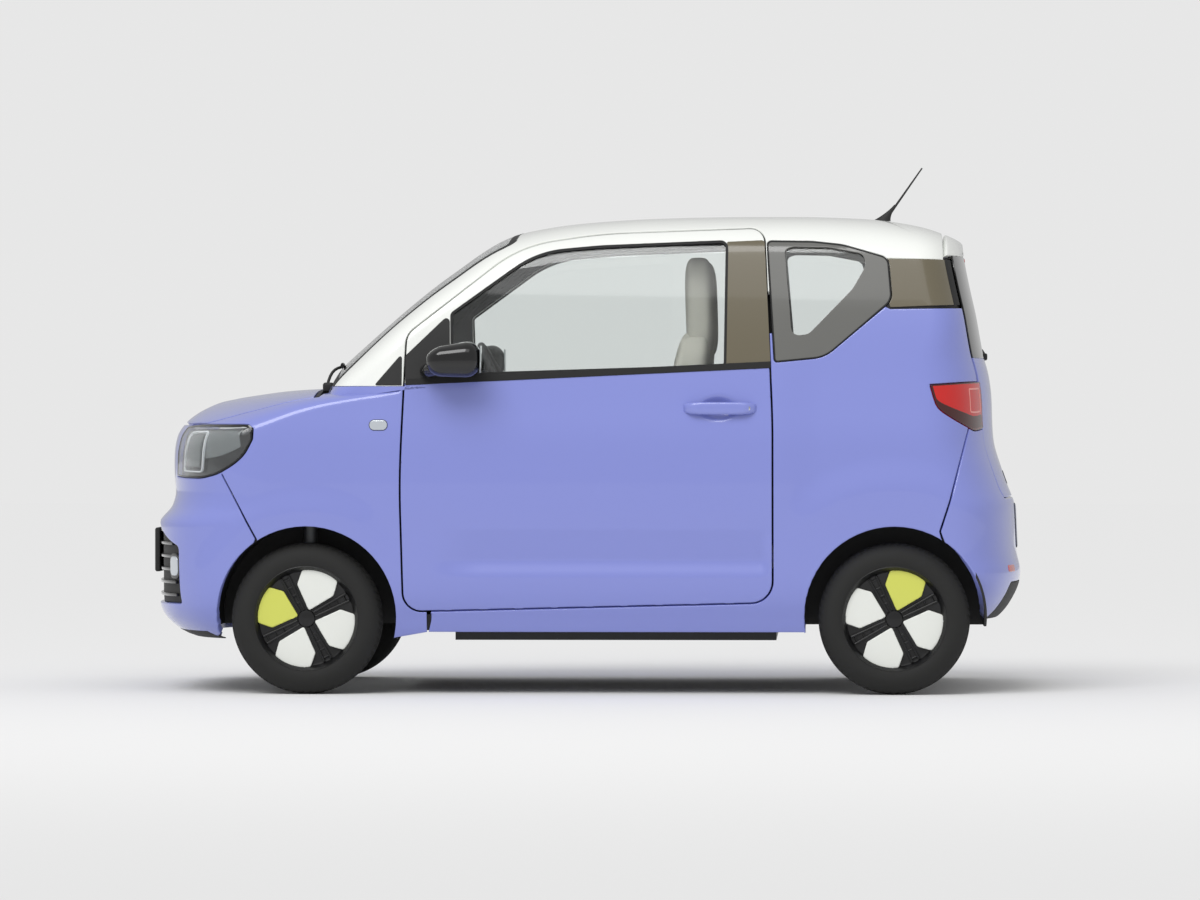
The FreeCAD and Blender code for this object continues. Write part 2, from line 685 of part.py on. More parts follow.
def make_front():
    lamp_hole = headlamp(overrun, lamp_depth + overrun, panel_gap / 2)
    lamp_room = headlamp(overrun, lamp_depth + overrun, panel_gap)
    keep("bonnet", skin(bonnet_net(), 0, lid_wall).cut(lamp_room).cut(mirrored(lamp_room)))
    fender = skin(fender_net(), 0, fender_wall)
    fender = fender.cut(arch_cutter(front_axle_x, arch_radius, tyre_width)).cut(lamp_hole)
    fender = fender.cut(side_prism(seam_band(scaled(front_seam_shares), True, -panel_gap / 2)).common(
        block(0, body_length, 0, body_width, 0, lamp_low.at(0.5) + overrun)))
    fender = fender.cut(side_prism(door_outline, panel_gap))
    keep_pair("fenders", max(fender.Solids, key=lambda solid: solid.Volume))
    low, high = front_bumper_low_z, bonnet_front_z - lid_gap

    def seam_angle(z):
        x = front_seam.at(z) + panel_gap / 2
        return end_angle(nose_centre_x, x, lower_width(x, z))

    net = plan_net(nose_centre_x, lambda share, z: seam_angle(z) * (1 - 2 * share), straight(low), straight(high),
                   spread(0, 1, 29), bumper_row_shares)
    bumper = skin(net, 0, bumper_wall)
    for cutter in (lamp_hole, arch_cutter(front_axle_x, arch_radius, tyre_width)):
        bumper = bumper.cut(cutter).cut(mirrored(cutter))
    opening = [(-grille_outer_y, grille_low_z, 12), (grille_outer_y, grille_low_z, 12),
               (grille_outer_y, grille_outer_high_z, 20), (grille_middle_y, grille_high_z, 60),
               (-grille_middle_y, grille_high_z, 60), (-grille_outer_y, grille_outer_high_z, 20)]
    bumper = bumper.cut(end_prism(opening, front_axle_x, body_length, seat_gap))
    plate_x = nose_line.at(front_plate_z)
    grille_net = plan_net(nose_centre_x, lambda share, z: seam_angle(z) * (1 - 2 * share),
                          straight(grille_low_z - overrun), straight(grille_high_z + overrun),
                          spread(0, 1, 25), spread(0, 1, 9))
    grille = skin(grille_net, -trim_wall, trim_wall * 3).common(end_prism(opening, front_axle_x, body_length))
    keep("front_bumper", max(bumper.Solids, key=lambda solid: solid.Volume))
    plate = block(plate_x - trim_wall * 2, plate_x + plate_wall, -plate_width / 2, plate_width / 2,
                  front_plate_z - plate_height / 2, front_plate_z + plate_height / 2)
    grille = grille.fuse(plate)
    for y in (-plate_hole_pitch / 2, plate_hole_pitch / 2):
        grille = grille.cut(rod(V(plate_x - overrun * 2, y, front_plate_z), V(plate_x + overrun, y, front_plate_z),
                                plate_hole_radius))
    keep("front_grille", grille)
    keep_pair("headlamps", headlamp(0, lamp_depth))
    cowl_y = bonnet_edge.at(bonnet_rear_x) + panel_gap / 2 - seat_gap
    cowl_net = [[top_point(x, y) for y in spread(-cowl_y, cowl_y, 13)]
                for x in spread(roof_line.a[-1] - seat_gap * 8, bonnet_rear_x - panel_gap, 4)]
    cowl = skin(cowl_net, 0, side_wall)
    keep("cowl", cowl)


# Tail end

def tail_edge_angle(z):
    x = tail_line.at(z) + tail_corner * 0.2 - panel_gap
    return end_angle(tail_centre_x, x, form_width(x, z))


def tail_net(low, high, columns, rows):
    return plan_net(tail_centre_x, lambda share, z: math.pi + (math.pi - tail_edge_angle(z)) * (2 * share - 1),
                    straight(low), straight(high), spread(0, 1, columns), spread(0, 1, rows))


def gate_outline():
    return [(-tailgate_low_y, tailgate_low_z, 40), (tailgate_low_y, tailgate_low_z, 40),
            (tailgate_low_y, tailgate_step_z, 30), (body_width, tailgate_step_z + overrun, 5),
            (body_width, glass_low_z, 5), (-body_width, glass_low_z, 5),
            (-body_width, tailgate_step_z + overrun, 5), (-tailgate_low_y, tailgate_step_z, 30)]


def make_tail():
    lamp_hole = tail_lamp(overrun, tail_lamp_depth + overrun, panel_gap / 2)
    lamp_room = tail_lamp(overrun, tail_lamp_depth + overrun, panel_gap)
    low, high = rear_bumper_low_z, tail_low.at(0.5) - panel_gap

    def seam_angle(z):
        x = rear_seam.at(z) - panel_gap / 2
        return math.pi - end_angle(tail_centre_x, x, lower_width(x, z))

    net = plan_net(tail_centre_x, lambda share, z: math.pi + seam_angle(z) * (2 * share - 1),
                   straight(low), straight(high), spread(0, 1, 29), spread(0, 1, 14))
    bumper = skin(net, 0, bumper_wall)
    for cutter in (lamp_hole, arch_cutter(rear_axle_x, arch_radius, tyre_width)):
        bumper = bumper.cut(cutter).cut(mirrored(cutter))
    bumper = bumper.cut(end_prism(gate_outline(), tail_centre_x, -body_length, panel_gap))
    valance_outline = [(-560, 0, 5), (560, 0, 5), (500, 366, 30), (-500, 366, 30)]
    valance_tool = end_prism(valance_outline, tail_centre_x, -body_length)
    valance = bumper.common(valance_tool)
    bumper = bumper.cut(end_prism(valance_outline, tail_centre_x, -body_length, seat_gap))
    keep("rear_bumper", max(bumper.Solids, key=lambda solid: solid.Volume))
    keep("rear_valance", max(valance.Solids, key=lambda solid: solid.Volume))
    gate = skin(tail_net(tailgate_low_z - overrun, glass_low_z, 21, 10), 0, lid_wall * 1.6)
    gate = gate.common(end_prism(gate_outline(), tail_centre_x, -body_length)).cut(lamp_room).cut(mirrored(lamp_room))
    keep("tailgate_panel", gate)
    keep("tailgate_glass", skin(tail_net(glass_low_z + seat_gap, spoiler_low_z - seat_gap, 21, 6), 0, trim_wall))
    keep_pair("tail_lamps", tail_lamp(0, tail_lamp_depth))


antenna_root_x = -1008.0
antenna_tip_x = -1130.0
antenna_tip_z = 1760.0
antenna_base_radius = 22.0
antenna_base_height = 26.0
antenna_mast_radius = 4.0


def section_net(xs, width, start_z, centre_z, count):
    # Arcs over the car from its left side to its right
    columns = []
    for x in xs:
        top = roof_line.at(x)
        start = V(x, width(x, start_z), start_z)
        tall = top - centre_z
        wide = half_width * 0.9
        first = math.atan2((start.z - centre_z) / tall, start.y / wide)
        column = [cast((x, 0, centre_z), (0, wide * math.cos(turn) / tall, math.sin(turn)), body_length, width)
                  for turn in spread(first, math.pi - first, count)]
        columns.append(column)
    return columns


def make_cabin():
    base_z = belt_front_z - overrun
    shell_net = section_net(spread(spoiler_front_x + panel_gap, roof_line.a[-1] - trim_wall, 22), cabin_width,
                            base_z + overrun / 2, base_z - overrun, 33)
    shell = skin(shell_net, 0, roof_wall)
    door_hole = side_prism(door_outline, panel_gap)
    below = quad([(body_length, 0), (body_length, belt_front_z + trim_wall / 4),
                  (door_front_x, belt_front_z + trim_wall / 4), (door_front_x, glass_middle[-1][1])]
                 + glass_middle[::-1][1:]
                 + [(corner_outline[3][0], corner_outline[3][1]), (-body_length, corner_outline[2][1]),
                    (-body_length, 0)])
    glass_hole = side_prism(quarter_outline, seat_gap)
    trim_hole = side_prism(corner_outline, seat_gap)
    for tool in (door_hole, side_prism(below), glass_hole, trim_hole):
        shell = shell.cut(tool).cut(mirrored(tool))
    screen = [(roof_line.a[-1] + overrun, -600, 30), (roof_line.a[-1] + overrun, 600, 30),
              (228, 508, 60), (206, 0, 900), (228, -508, 60)]
    shell = shell.cut(top_prism(screen, base_z - overrun, roof_height))
    behind = block(-body_length, spoiler_front_x + panel_gap, -body_width, body_width, 0, roof_height * 2)
    shell = shell.cut(behind)
    keep("upper_frame", *[solid for solid in shell.Solids if solid.Volume > 1e5])
    glass_net = section_net(spread(190, roof_line.a[-1] - trim_wall, 12), cabin_width,
                            base_z + overrun / 2, base_z - overrun, 27)
    glass = skin(glass_net, 0, glass_wall)
    glass = glass.common(top_prism(screen, base_z - overrun, roof_height, -seat_gap))
    keep("windscreen", max(glass.Solids, key=lambda solid: solid.Volume))
    net = make_side()
    pane = skin(net, 0, glass_wall + glass_recess).common(side_prism(quarter_outline))
    trim = skin(net, 0, roof_wall).common(side_prism(corner_outline)).cut(side_prism(quarter_outline, panel_gap / 2))
    keep_pair("quarter_glass", pane)
    keep_pair("corner_trims", trim)
    spoiler_net = section_net([-1284 + 14, -1262, -1240, -1220, spoiler_front_x - panel_gap / 6], cabin_width,
                              spoiler_low_z, spoiler_low_z - overrun * 2, 21)
    spoiler = skin(spoiler_net, 0, roof_wall)
    spoiler = spoiler.common(block(-body_length, spoiler_front_x, -body_width, body_width, 0, roof_height * 2))
    keep("spoiler", spoiler)
    keep("tailgate_glass", nodes["tailgate_glass"].cut(spoiler))
    antenna_root = V(antenna_root_x, 0, roof_line.at(antenna_root_x) - antenna_base_height)
    antenna = Part.makeCone(antenna_base_radius, antenna_mast_radius * 2, antenna_base_height * 2, antenna_root,
                            V(antenna_tip_x - antenna_root_x, 0, antenna_tip_z - roof_height))
    antenna = antenna.fuse(rod(antenna_root, V(antenna_tip_x, 0, antenna_tip_z), antenna_mast_radius))
    antenna = antenna.cut(skin(shell_net, seat_gap, roof_wall * 3))
    keep("antenna", max(antenna.Solids, key=lambda solid: solid.CenterOfMass.z))


# Running gear

tyre_side_bulge = 6.0
hub_radius = 46.0
knuckle_inner_y = 560.0
wheel_face_inset = 24.0
wheel_plate = 10.0
petal_radius = 161.0
petal_shoulder = 117.0
petal_tip = 28.0
petal_wall = 5.0
hub_cap_radius = 30.0
axle_tube_radius = 30.0
motor_radius = 108.0
motor_length = 262.0
motor_offset = 40.0
knuckle_share = 0.17
ball_radius = 14.0
ball_height = 60.0
kingpin_low_y = 610.0
kingpin_low_z = 190.0
kingpin_high_y = 515.0
kingpin_high_z = 760.0
strut_radius = 24.0
strut_foot_z = 330.0
strut_foot_y = 534.0


def ring(profile, x, y):
    # A profile of (distance from the axle, offset outboard) turned round the axle line
    points = [V(x + radius, y + offset, tyre_radius) for radius, offset in profile]
    face = Part.Face(Part.makePolygon(points + points[:1]))
    return face.revolve(V(x, y, tyre_radius), V(0, 1, 0), 360)


def make_wheel(x, name):
    outer = tyre_width / 2
    shoulder = tyre_radius - 22
    tyre = ring([(rim_radius, -outer + 14), (rim_radius + 26, -outer), (shoulder - 14, -outer),
                 (shoulder + 12, -outer + 14), (tyre_radius, -outer + 34), (tyre_radius, outer - 34),
                 (shoulder + 12, outer - 14), (shoulder - 14, outer), (rim_radius + 26, outer),
                 (rim_radius, outer - 14), (rim_radius, 0)], x, wheel_y)
    face = outer - wheel_face_inset
    barrel = ring([(rim_radius - 8, -outer + 14), (rim_radius - seat_gap, -outer + 14),
                   (rim_radius - seat_gap, outer - 14), (rim_radius - 8, outer - 14)], x, wheel_y)
    disc = ring([(0, face - wheel_plate), (rim_radius - 5, face - wheel_plate), (rim_radius - 5, face),
                 (hub_radius * 1.6, face), (hub_cap_radius, face + 8), (0, face + 8)], x, wheel_y)
    hub = Part.makeCylinder(hub_radius * 1.1, face - wheel_plate + wheel_y - knuckle_outer_y() + seat_gap,
                            V(x, knuckle_outer_y() + seat_gap, tyre_radius), V(0, 1, 0))
    wheel = barrel.fuse([disc, hub])
    petals = []
    for turn in range(4):
        angle = math.radians(72.5 + 90 * turn)
        half = math.radians(22.5)
        wide = math.radians(32.5)
        corners = [(petal_tip, 0), (petal_shoulder, wide), (petal_radius, half), (petal_radius, 0),
                   (petal_radius, -half), (petal_shoulder, -wide)]
        points = [V(x - radius * math.cos(angle + lean), wheel_y + face, tyre_radius + radius * math.sin(angle + lean))
                  for radius, lean in corners]
        petals.append(Part.Face(Part.makePolygon(points + points[:1])).extrude(V(0, petal_wall, 0)))
    keep_sides("tyre_" + name, tyre)
    keep_sides("wheel_" + name, wheel.fuse(petals))


def knuckle_outer_y():
    return wheel_y - tyre_width * knuckle_share


def make_running_gear():
    make_wheel(front_axle_x, "front")
    make_wheel(rear_axle_x, "rear")
    low = V(front_axle_x, kingpin_low_y, kingpin_low_z)
    high = V(front_axle_x, kingpin_high_y, kingpin_high_z)
    carrier = rod(V(front_axle_x, knuckle_inner_y, tyre_radius), V(front_axle_x, knuckle_outer_y(), tyre_radius), hub_radius)
    strut = rod(V(front_axle_x, strut_foot_y, strut_foot_z), high, strut_radius)
    arm = block(front_axle_x - hub_radius / 2, front_axle_x + hub_radius / 2, strut_foot_y - strut_radius / 2,
                knuckle_inner_y + seat_gap * 10, tyre_radius, strut_foot_z + overrun)
    ball = rod(low, low + (high - low).normalize() * ball_height, ball_radius)
    keep_sides("knuckle", carrier.fuse([strut, arm, ball]))
    cross = block(front_axle_x - side_wall, front_axle_x + side_wall, -410, 410, 196, floor_top - seat_gap)
    arm_end = kingpin_low_y + ball_radius
    lean = math.atan2(kingpin_low_y - kingpin_high_y, kingpin_high_z - kingpin_low_z)
    arm_top = kingpin_low_z - ball_radius * math.sin(lean) - seat_gap
    wishbone = block(front_axle_x - 24, front_axle_x + 24, 330, arm_end, 160, arm_top)
    riser = block(front_axle_x - 24, front_axle_x + 24, 300, 330, 160, 196)
    keep("front_suspension", cross.fuse([wishbone, riser, mirrored(wishbone), mirrored(riser)]))
    axle_y = knuckle_outer_y()
    motor = Part.makeCylinder(motor_radius, motor_length, V(rear_axle_x, motor_offset - motor_length / 2, tyre_radius + 14),
                              V(0, 1, 0))
    keep("drive_motor", motor)
    tubes = []
    for side, inner in ((1, motor_offset + motor_length / 2), (-1, motor_length / 2 - motor_offset)):
        tubes.append(rod(V(rear_axle_x, side * inner, tyre_radius), V(rear_axle_x, side * axle_y, tyre_radius),
                         axle_tube_radius))
        spring_x, spring_y = rear_axle_x + 12, side * 420
        tubes.append(rod(V(spring_x, spring_y, tyre_radius), V(spring_x, spring_y, rear_floor_z - trim_wall * 1.5), 46))
    keep("rear_axle", *[tubes[0].fuse(tubes[1]), tubes[2].fuse(tubes[3])])


rear_floor_z = 500.0
rear_floor_front_x = -760.0
firewall_x = 612.0
firewall_half = 690.0
jack_pad = 70.0
jack_pad_drop = 6.0
jack_front_x = 520.0
jack_rear_x = -700.0
jack_y = 500.0
tub_wall = 8.0
lip_inset = 22.0
front_tub_y = 432.0
rear_tub_y = 492.0


def wheel_tub(axle_x, inner_y, outer_y):
    centre = V(axle_x, inner_y, tyre_radius + arch_centre_rise)
    outer = Part.makeCylinder(arch_radius + tub_wall, outer_y - inner_y, centre, V(0, 1, 0))
    inner = Part.makeCylinder(arch_radius, outer_y, centre + V(0, tub_wall, 0), V(0, 1, 0))
    tub = outer.cut(inner)
    inside = [(0, floor_bottom)] + [(side_line.at(z) - lip_inset, z) for z in spread(floor_bottom, roof_height * 0.26, 6)]
    inside += [(side_line.at(roof_height * 0.26) - lip_inset, roof_height), (0, roof_height)]
    points = [V(-body_length, y, z) for y, z in inside]
    return tub.common(Part.Face(Part.makePolygon(points + points[:1])).extrude(V(body_length * 2, 0, 0)))


def make_underbody():
    wide = form_width(0, floor_bottom) - trim_wall
    tub_radius = arch_radius + tub_wall
    tubs = [wheel_tub(front_axle_x, front_tub_y, half_width), wheel_tub(rear_axle_x, rear_tub_y, half_width)]
    openings = [arch_cutter(front_axle_x, tub_radius + seat_gap, front_tub_y - seat_gap),
                arch_cutter(rear_axle_x, tub_radius + seat_gap, rear_tub_y - seat_gap)]
    openings += [mirrored(opening) for opening in openings]
    plate = block(rear_floor_front_x, firewall_x - seat_gap, -wide, wide, floor_bottom, floor_top)
    step = block(rear_floor_front_x - trim_wall * 1.5, rear_floor_front_x, -wide, wide, floor_bottom, rear_floor_z)
    shelf = block(-1330, rear_floor_front_x, -wide, wide, rear_floor_z - trim_wall * 1.5, rear_floor_z)
    tail = block(-1348, -1330, -tailgate_low_y, tailgate_low_y, rear_bumper_low_z + overrun, tailgate_low_z - overrun)
    floor = plate.fuse([step, shelf, tail])
    for x in (jack_front_x, jack_rear_x):
        for y in (-jack_y, jack_y):
            floor = floor.fuse(block(x - jack_pad / 2, x + jack_pad / 2, y - jack_pad / 2, y + jack_pad / 2,
                                     floor_bottom - jack_pad_drop, floor_bottom))
    firewall = block(firewall_x, firewall_x + trim_wall, -firewall_half, firewall_half, floor_bottom,
                     belt_front_z - side_wall)
    flange = block(firewall_x, firewall_x + trim_wall, firewall_half, half_width, roof_height / 3, belt_front_z - side_wall)
    flange = flange.cut(skin(fender_net(), overrun, fender_wall + seat_gap))
    flange = max(flange.Solids, key=lambda solid: solid.Volume)
    rails = [block(firewall_x, 1330, side * 380 - 30, side * 380 + 30, floor_top, floor_top + 80) for side in (1, -1)]
    beam = block(1330, 1348, -440, 440, floor_top, floor_top + 100)
    lamp_seat = headlamp(seat_gap, lamp_depth + seat_gap, seat_gap)
    post = block(1230, 1260, 380, 410, floor_top + 80, roof_height / 2).cut(lamp_seat)
    post = min(post.Solids, key=lambda solid: solid.CenterOfMass.z)
    rails += [post, mirrored(post)]
    tower = block(front_axle_x - 70, front_axle_x + 70, 440, 600, tyre_radius + arch_radius, kingpin_high_z + trim_wall)
    hollow = block(front_axle_x - 60, front_axle_x + 60, 450, 590, 0, kingpin_high_z + strut_radius / 10)
    strap = block(firewall_x, front_axle_x - 60, 560, 600, kingpin_high_z - overrun, kingpin_high_z + trim_wall)
    hinges = []
    for z in hinge_heights:
        pin = V(hinge_x, hinge_y, z - hinge_tall / 2 - trim_wall)
        hinges.append(rod(pin, pin + V(0, 0, hinge_tall + trim_wall * 2), hinge_pin_radius))
        reach = firewall_x + trim_wall - hinge_x
        arm = [(hinge_x, hinge_y + hinge_arm), (hinge_x + hinge_arm, hinge_y), (hinge_x + reach, hinge_y - reach),
               (hinge_x + reach, hinge_y - reach - hinge_arm * 3), (hinge_x - hinge_arm, hinge_y)]
        points = [V(x, y, z - hinge_tall / 2 + seat_gap) for x, y in arm]
        hinges.append(Part.Face(Part.makePolygon(points + points[:1])).extrude(V(0, 0, hinge_tall - seat_gap * 2)))
    one_side = flange.fuse([tower, strap] + hinges)
    front = firewall.fuse(rails + [beam, one_side, mirrored(one_side)])
    for opening in openings:
        floor = floor.cut(opening)
        front = front.cut(opening)
    axle_room = rod(V(rear_axle_x, -body_width, tyre_radius), V(rear_axle_x, body_width, tyre_radius),
                    axle_tube_radius + trim_wall)
    liners = []
    for tub in tubs:
        liners.append(tub.cut(hollow).cut(axle_room))
    front = front.cut(hollow).cut(mirrored(hollow))
    for name in ("side_left", "side_right", "fenders", "rear_bumper", "rear_valance", "front_bumper"):
        floor = floor.cut(nodes[name])
        front = front.cut(nodes[name])
        liners = [liner.cut(nodes[name]) for liner in liners]
    keep("floor_pan", max(floor.Solids, key=lambda solid: solid.Volume))
    keep("front_structure", max(front.Solids, key=lambda solid: solid.Volume))
    keep_pair("wheel_liners", *[max(liner.Solids, key=lambda solid: solid.Volume) for liner in liners])
    keep("battery_pack", block(-640, 430, -470, 470, 172, floor_bottom - seat_gap))


column_length = 160.0
column_radius = 18.0


def make_cabin_furniture():
    seat_y = 335
    cushion = block(-330, 150, seat_y - 225, seat_y + 225, 450, 570)
    base = block(-300, 120, seat_y - 170, seat_y + 170, floor_top + seat_gap, 450)
    back = side_slab([(-330, 470), (-230, 470), (-330, 1130), (-350, 1448), (-420, 1448), (-440, 1130)], seat_y, 225)
    keep_pair("front_seats", cushion.makeFillet(40, cushion.Edges).fuse([base, back]))
    bench = block(-1000, -600, -440, 440, rear_floor_z + seat_gap, rear_floor_z + 110)
    bench_back = side_slab([(-1000, 500.3), (-900, 500.3), (-1000, 1080), (-1070, 1080)], 0, 440)
    keep("rear_seat", bench.makeFillet(30, bench.Edges).fuse(bench_back))
    dash = side_slab([(firewall_x - seat_gap, 700), (firewall_x - seat_gap, 960), (560, 1010), (400, 990), (380, 930), (420, 760)], 0, 630)
    centre = V(270, seat_y - 5, 1000)
    way = V(math.cos(math.radians(28)), 0, -math.sin(math.radians(28)))
    keep("dashboard", dash.cut(rod(centre, centre + way * (column_length + seat_gap), column_radius + seat_gap)))
    rim = Part.makeTorus(172, 14, centre, way)
    hub = rod(centre, centre + way * 50, 45)
    column = rod(centre, centre + way * column_length, column_radius)
    spokes = [rod(centre + way * 20, centre + spoke * 166, 12) for spoke in
              (V(0, 1, 0), V(0, -1, 0), way.cross(V(0, 1, 0)) * 1)]
    keep("steering_wheel", rim.fuse([hub, column] + spokes))


def side_slab(points, y, half):
    corners = [V(x, y - half, z) for x, z in points]
    return Part.Face(Part.makePolygon(corners + corners[:1])).extrude(V(0, 2 * half, 0))


keep_sides("side", side_body())
make_doors()
make_mirrors()
make_front()
make_tail()
make_cabin()
make_running_gear()
make_underbody()
make_cabin_furniture()

os.makedirs("parts", exist_ok=True)
for name, shape in nodes.items():
    shape.exportStep("parts/" + name + ".step")
    print(name, round(shape.Volume / 1e6, 3), len(shape.Solids), shape.isValid())
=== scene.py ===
import bpy
import math
import numpy as np
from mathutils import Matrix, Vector, geometry


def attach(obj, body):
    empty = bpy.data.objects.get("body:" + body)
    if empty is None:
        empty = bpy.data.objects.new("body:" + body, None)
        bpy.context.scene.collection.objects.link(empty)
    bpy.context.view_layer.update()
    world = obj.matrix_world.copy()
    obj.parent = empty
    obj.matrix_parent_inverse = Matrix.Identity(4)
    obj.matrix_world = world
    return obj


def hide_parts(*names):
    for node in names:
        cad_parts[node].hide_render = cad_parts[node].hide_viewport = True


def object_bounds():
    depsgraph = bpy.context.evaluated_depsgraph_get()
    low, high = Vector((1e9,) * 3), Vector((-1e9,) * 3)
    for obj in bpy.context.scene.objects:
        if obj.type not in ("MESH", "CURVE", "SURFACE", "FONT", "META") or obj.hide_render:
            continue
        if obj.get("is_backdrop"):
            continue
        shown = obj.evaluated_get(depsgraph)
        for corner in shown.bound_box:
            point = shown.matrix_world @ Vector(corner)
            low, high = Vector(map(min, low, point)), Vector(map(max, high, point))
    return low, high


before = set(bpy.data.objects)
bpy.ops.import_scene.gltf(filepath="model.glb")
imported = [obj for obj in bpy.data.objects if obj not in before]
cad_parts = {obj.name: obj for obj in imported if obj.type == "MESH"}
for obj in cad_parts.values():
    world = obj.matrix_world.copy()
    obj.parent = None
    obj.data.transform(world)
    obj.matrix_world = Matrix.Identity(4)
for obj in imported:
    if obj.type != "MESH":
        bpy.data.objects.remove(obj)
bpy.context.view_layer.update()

# The body form is shared by every panel. Lengths are metres, shares are of these sizes.
form = {
    "length": 2.920, "height": 1.590, "half": 0.7465,
    "frontAxle": 0.910, "rearAxle": -1.030, "wheelY": 0.650, "tyreRadius": 0.250,
    "noseCorner": 0.380, "nosePower": 2.8, "tailCorner": 0.260, "tailPower": 2.6, "cabinCorner": 0.170,
    "roofEdge": 0.142, "roofPower": 3.0, "screenPower": 2.6, "pillarLean": 0.062,
    "fenderTop": 0.2055, "nearPower": 3.2, "farPower": 2.2, "cornerStep": 0.15, "cabinLow": 0.9,
    "noseBack": (0.030, 1.20, 0.12), "doorFade": 0.040, "leastShoulder": 0.02,
    "haunch": (0.013, 0.425, 0.545), "blister": (0.009, 0.345, 0.440),
    "scoop": (0.015, 0.545, 0.445, 0.385), "scoopFront": 0.520, "scoopFade": 0.190,
    "doorRear": -0.2144, "doorFront": 0.2045, "belt": 0.6453}

noseShares = [
    (0.1069, 0.4418), (0.1208, 0.4658), (0.1390, 0.4801), (0.1579, 0.4901), (0.1792, 0.4949), (0.2075, 0.4959),
    (0.3522, 0.4959), (0.3723, 0.4880), (0.3849, 0.4815), (0.4182, 0.4767), (0.4497, 0.4781), (0.5031, 0.4788),
    (0.5346, 0.4774), (0.5623, 0.4685), (0.5849, 0.4534), (0.5962, 0.4418), (0.6094, 0.4253), (0.6157, 0.4068),
    (0.6208, 0.3870), (0.6308, 0.3510), (0.6358, 0.3243), (0.6371, 0.2962)]
bonnetShares = [
    (0.2055, 0.6390), (0.2962, 0.6384), (0.3243, 0.6371), (0.3510, 0.6314), (0.3870, 0.6214), (0.4068, 0.6157),
    (0.4253, 0.6075), (0.4418, 0.5962), (0.4534, 0.5849), (0.4685, 0.5623), (0.4774, 0.5346), (0.4795, 0.5031)]
tailShares = [
    (0.1447, -0.4685), (0.1597, -0.4784), (0.1836, -0.4884), (0.2314, -0.4997), (0.2541, -0.5007),
    (0.2830, -0.4966), (0.3421, -0.4949), (0.3943, -0.4935), (0.4170, -0.4884), (0.4679, -0.4784),
    (0.5277, -0.4692), (0.5660, -0.4678), (0.6126, -0.4671), (0.6642, -0.4637), (0.7025, -0.4579),
    (0.7937, -0.4486), (0.8465, -0.4421), (0.9088, -0.4356), (0.9434, -0.4336)]
roofShares = [
    (-0.4401, 0.9340), (-0.4356, 0.9440), (-0.4134, 0.9616), (-0.3904, 0.9761), (-0.3613, 0.9868),
    (-0.3329, 0.9937), (-0.3031, 0.9969), (-0.2449, 1.0000), (-0.1866, 1.0000), (-0.1301, 0.9987),
    (-0.0705, 0.9956), (-0.0158, 0.9893), (0.0205, 0.9830), (0.0514, 0.9742), (0.0764, 0.9648),
    (0.0945, 0.9528), (0.1089, 0.9384), (0.1264, 0.9176), (0.1445, 0.8931), (0.1682, 0.8623),
    (0.2034, 0.8101), (0.2271, 0.7723), (0.2623, 0.7145), (0.2860, 0.6730), (0.2952, 0.6371), (0.2979, 0.6226)]
sideShares = [
    (0.1069, 0.9002), (0.1289, 0.9243), (0.1572, 0.9431), (0.1887, 0.9672), (0.2201, 0.9792), (0.2516, 0.9846),
    (0.3428, 0.9913), (0.3774, 0.9967), (0.4403, 0.9993), (0.5220, 0.9967), (0.5535, 0.9900), (0.5912, 0.9766),
    (0.6541, 0.9551), (0.6855, 0.9431), (0.7547, 0.9109), (0.8491, 0.8573), (0.9434, 0.7930), (1.0063, 0.7368)]
shoulderShares = [(0.2055, 0.0126), (0.2911, 0.0440), (0.3600, 0.0755), (0.4450, 0.0943), (0.4795, 0.1006)]


def lineOf(shares, inScale, outScale, blur):
    # Monotone cubic through the points, then a Gaussian blur of that width so that reflections run smoothly
    rows = np.array(sorted(shares)) * (inScale, outScale)
    a, b = rows[:, 0], rows[:, 1]
    step, slope = np.diff(a), np.diff(b) / np.diff(a)
    product = slope[:-1] * slope[1:]
    total = np.where(slope[:-1] + slope[1:] == 0, 1, slope[:-1] + slope[1:])
    m = np.concatenate([slope[:1], np.where(product > 0, 2 * product / total, 0), slope[-1:]])
    fine = 0.001
    pad = 4 * blur
    grid = np.arange(a[0] - pad, a[-1] + pad, fine)
    i = np.clip(np.searchsorted(a, grid) - 1, 0, len(step) - 1)
    t = np.clip((grid - a[i]) / step[i], 0, 1)
    value = (b[i] * (1 + 2 * t) * (1 - t) ** 2 + m[i] * step[i] * t * (1 - t) ** 2
             + b[i + 1] * t * t * (3 - 2 * t) + m[i + 1] * step[i] * t * t * (t - 1))
    outside = np.where(grid < a[0], (grid - a[0]) * m[0], np.where(grid > a[-1], (grid - a[-1]) * m[-1], 0))
    value = value + outside
    kernel = np.exp(-0.5 * (np.arange(-3 * blur, 3 * blur + fine, fine) / blur) ** 2)
    smooth = np.convolve(np.pad(value, len(kernel) // 2, mode="edge"), kernel / kernel.sum(), mode="valid")[:len(grid)]
    return lambda q: np.interp(q, grid, smooth)


noseLine = lineOf(noseShares, form["height"], form["length"], 0.007)
bonnetLine = lineOf(bonnetShares, form["length"], form["height"], 0.030)
tailLine = lineOf(tailShares, form["height"], form["length"], 0.014)
roofLine = lineOf(roofShares, form["length"], form["height"], 0.022)
sideLine = lineOf(sideShares, form["height"], form["half"], 0.018)
shoulderLine = lineOf(shoulderShares, form["length"], form["height"], 0.030)
bonnetEnd = bonnetShares[-1][0] * form["length"]


def bonnetTop(x):
    # The bonnet line, read a little further back near the nose so that the front runs flat across the middle
    back, start, run = form["noseBack"]
    return bonnetLine(np.minimum(x - back * ease((x - start) / run), bonnetEnd))


def ease(v):
    # 3t^2 - 2t^3 for t held between 0 and 1
    t = np.clip(v, 0, 1)
    return t * t * (3 - 2 * t)


def rounded(t, power):
    # The superellipse (1 - t^p)^(1/p), 1 before t = 0 and 0 after t = 1
    return (1 - np.clip(t, 0, 1) ** power) ** (1 / power)


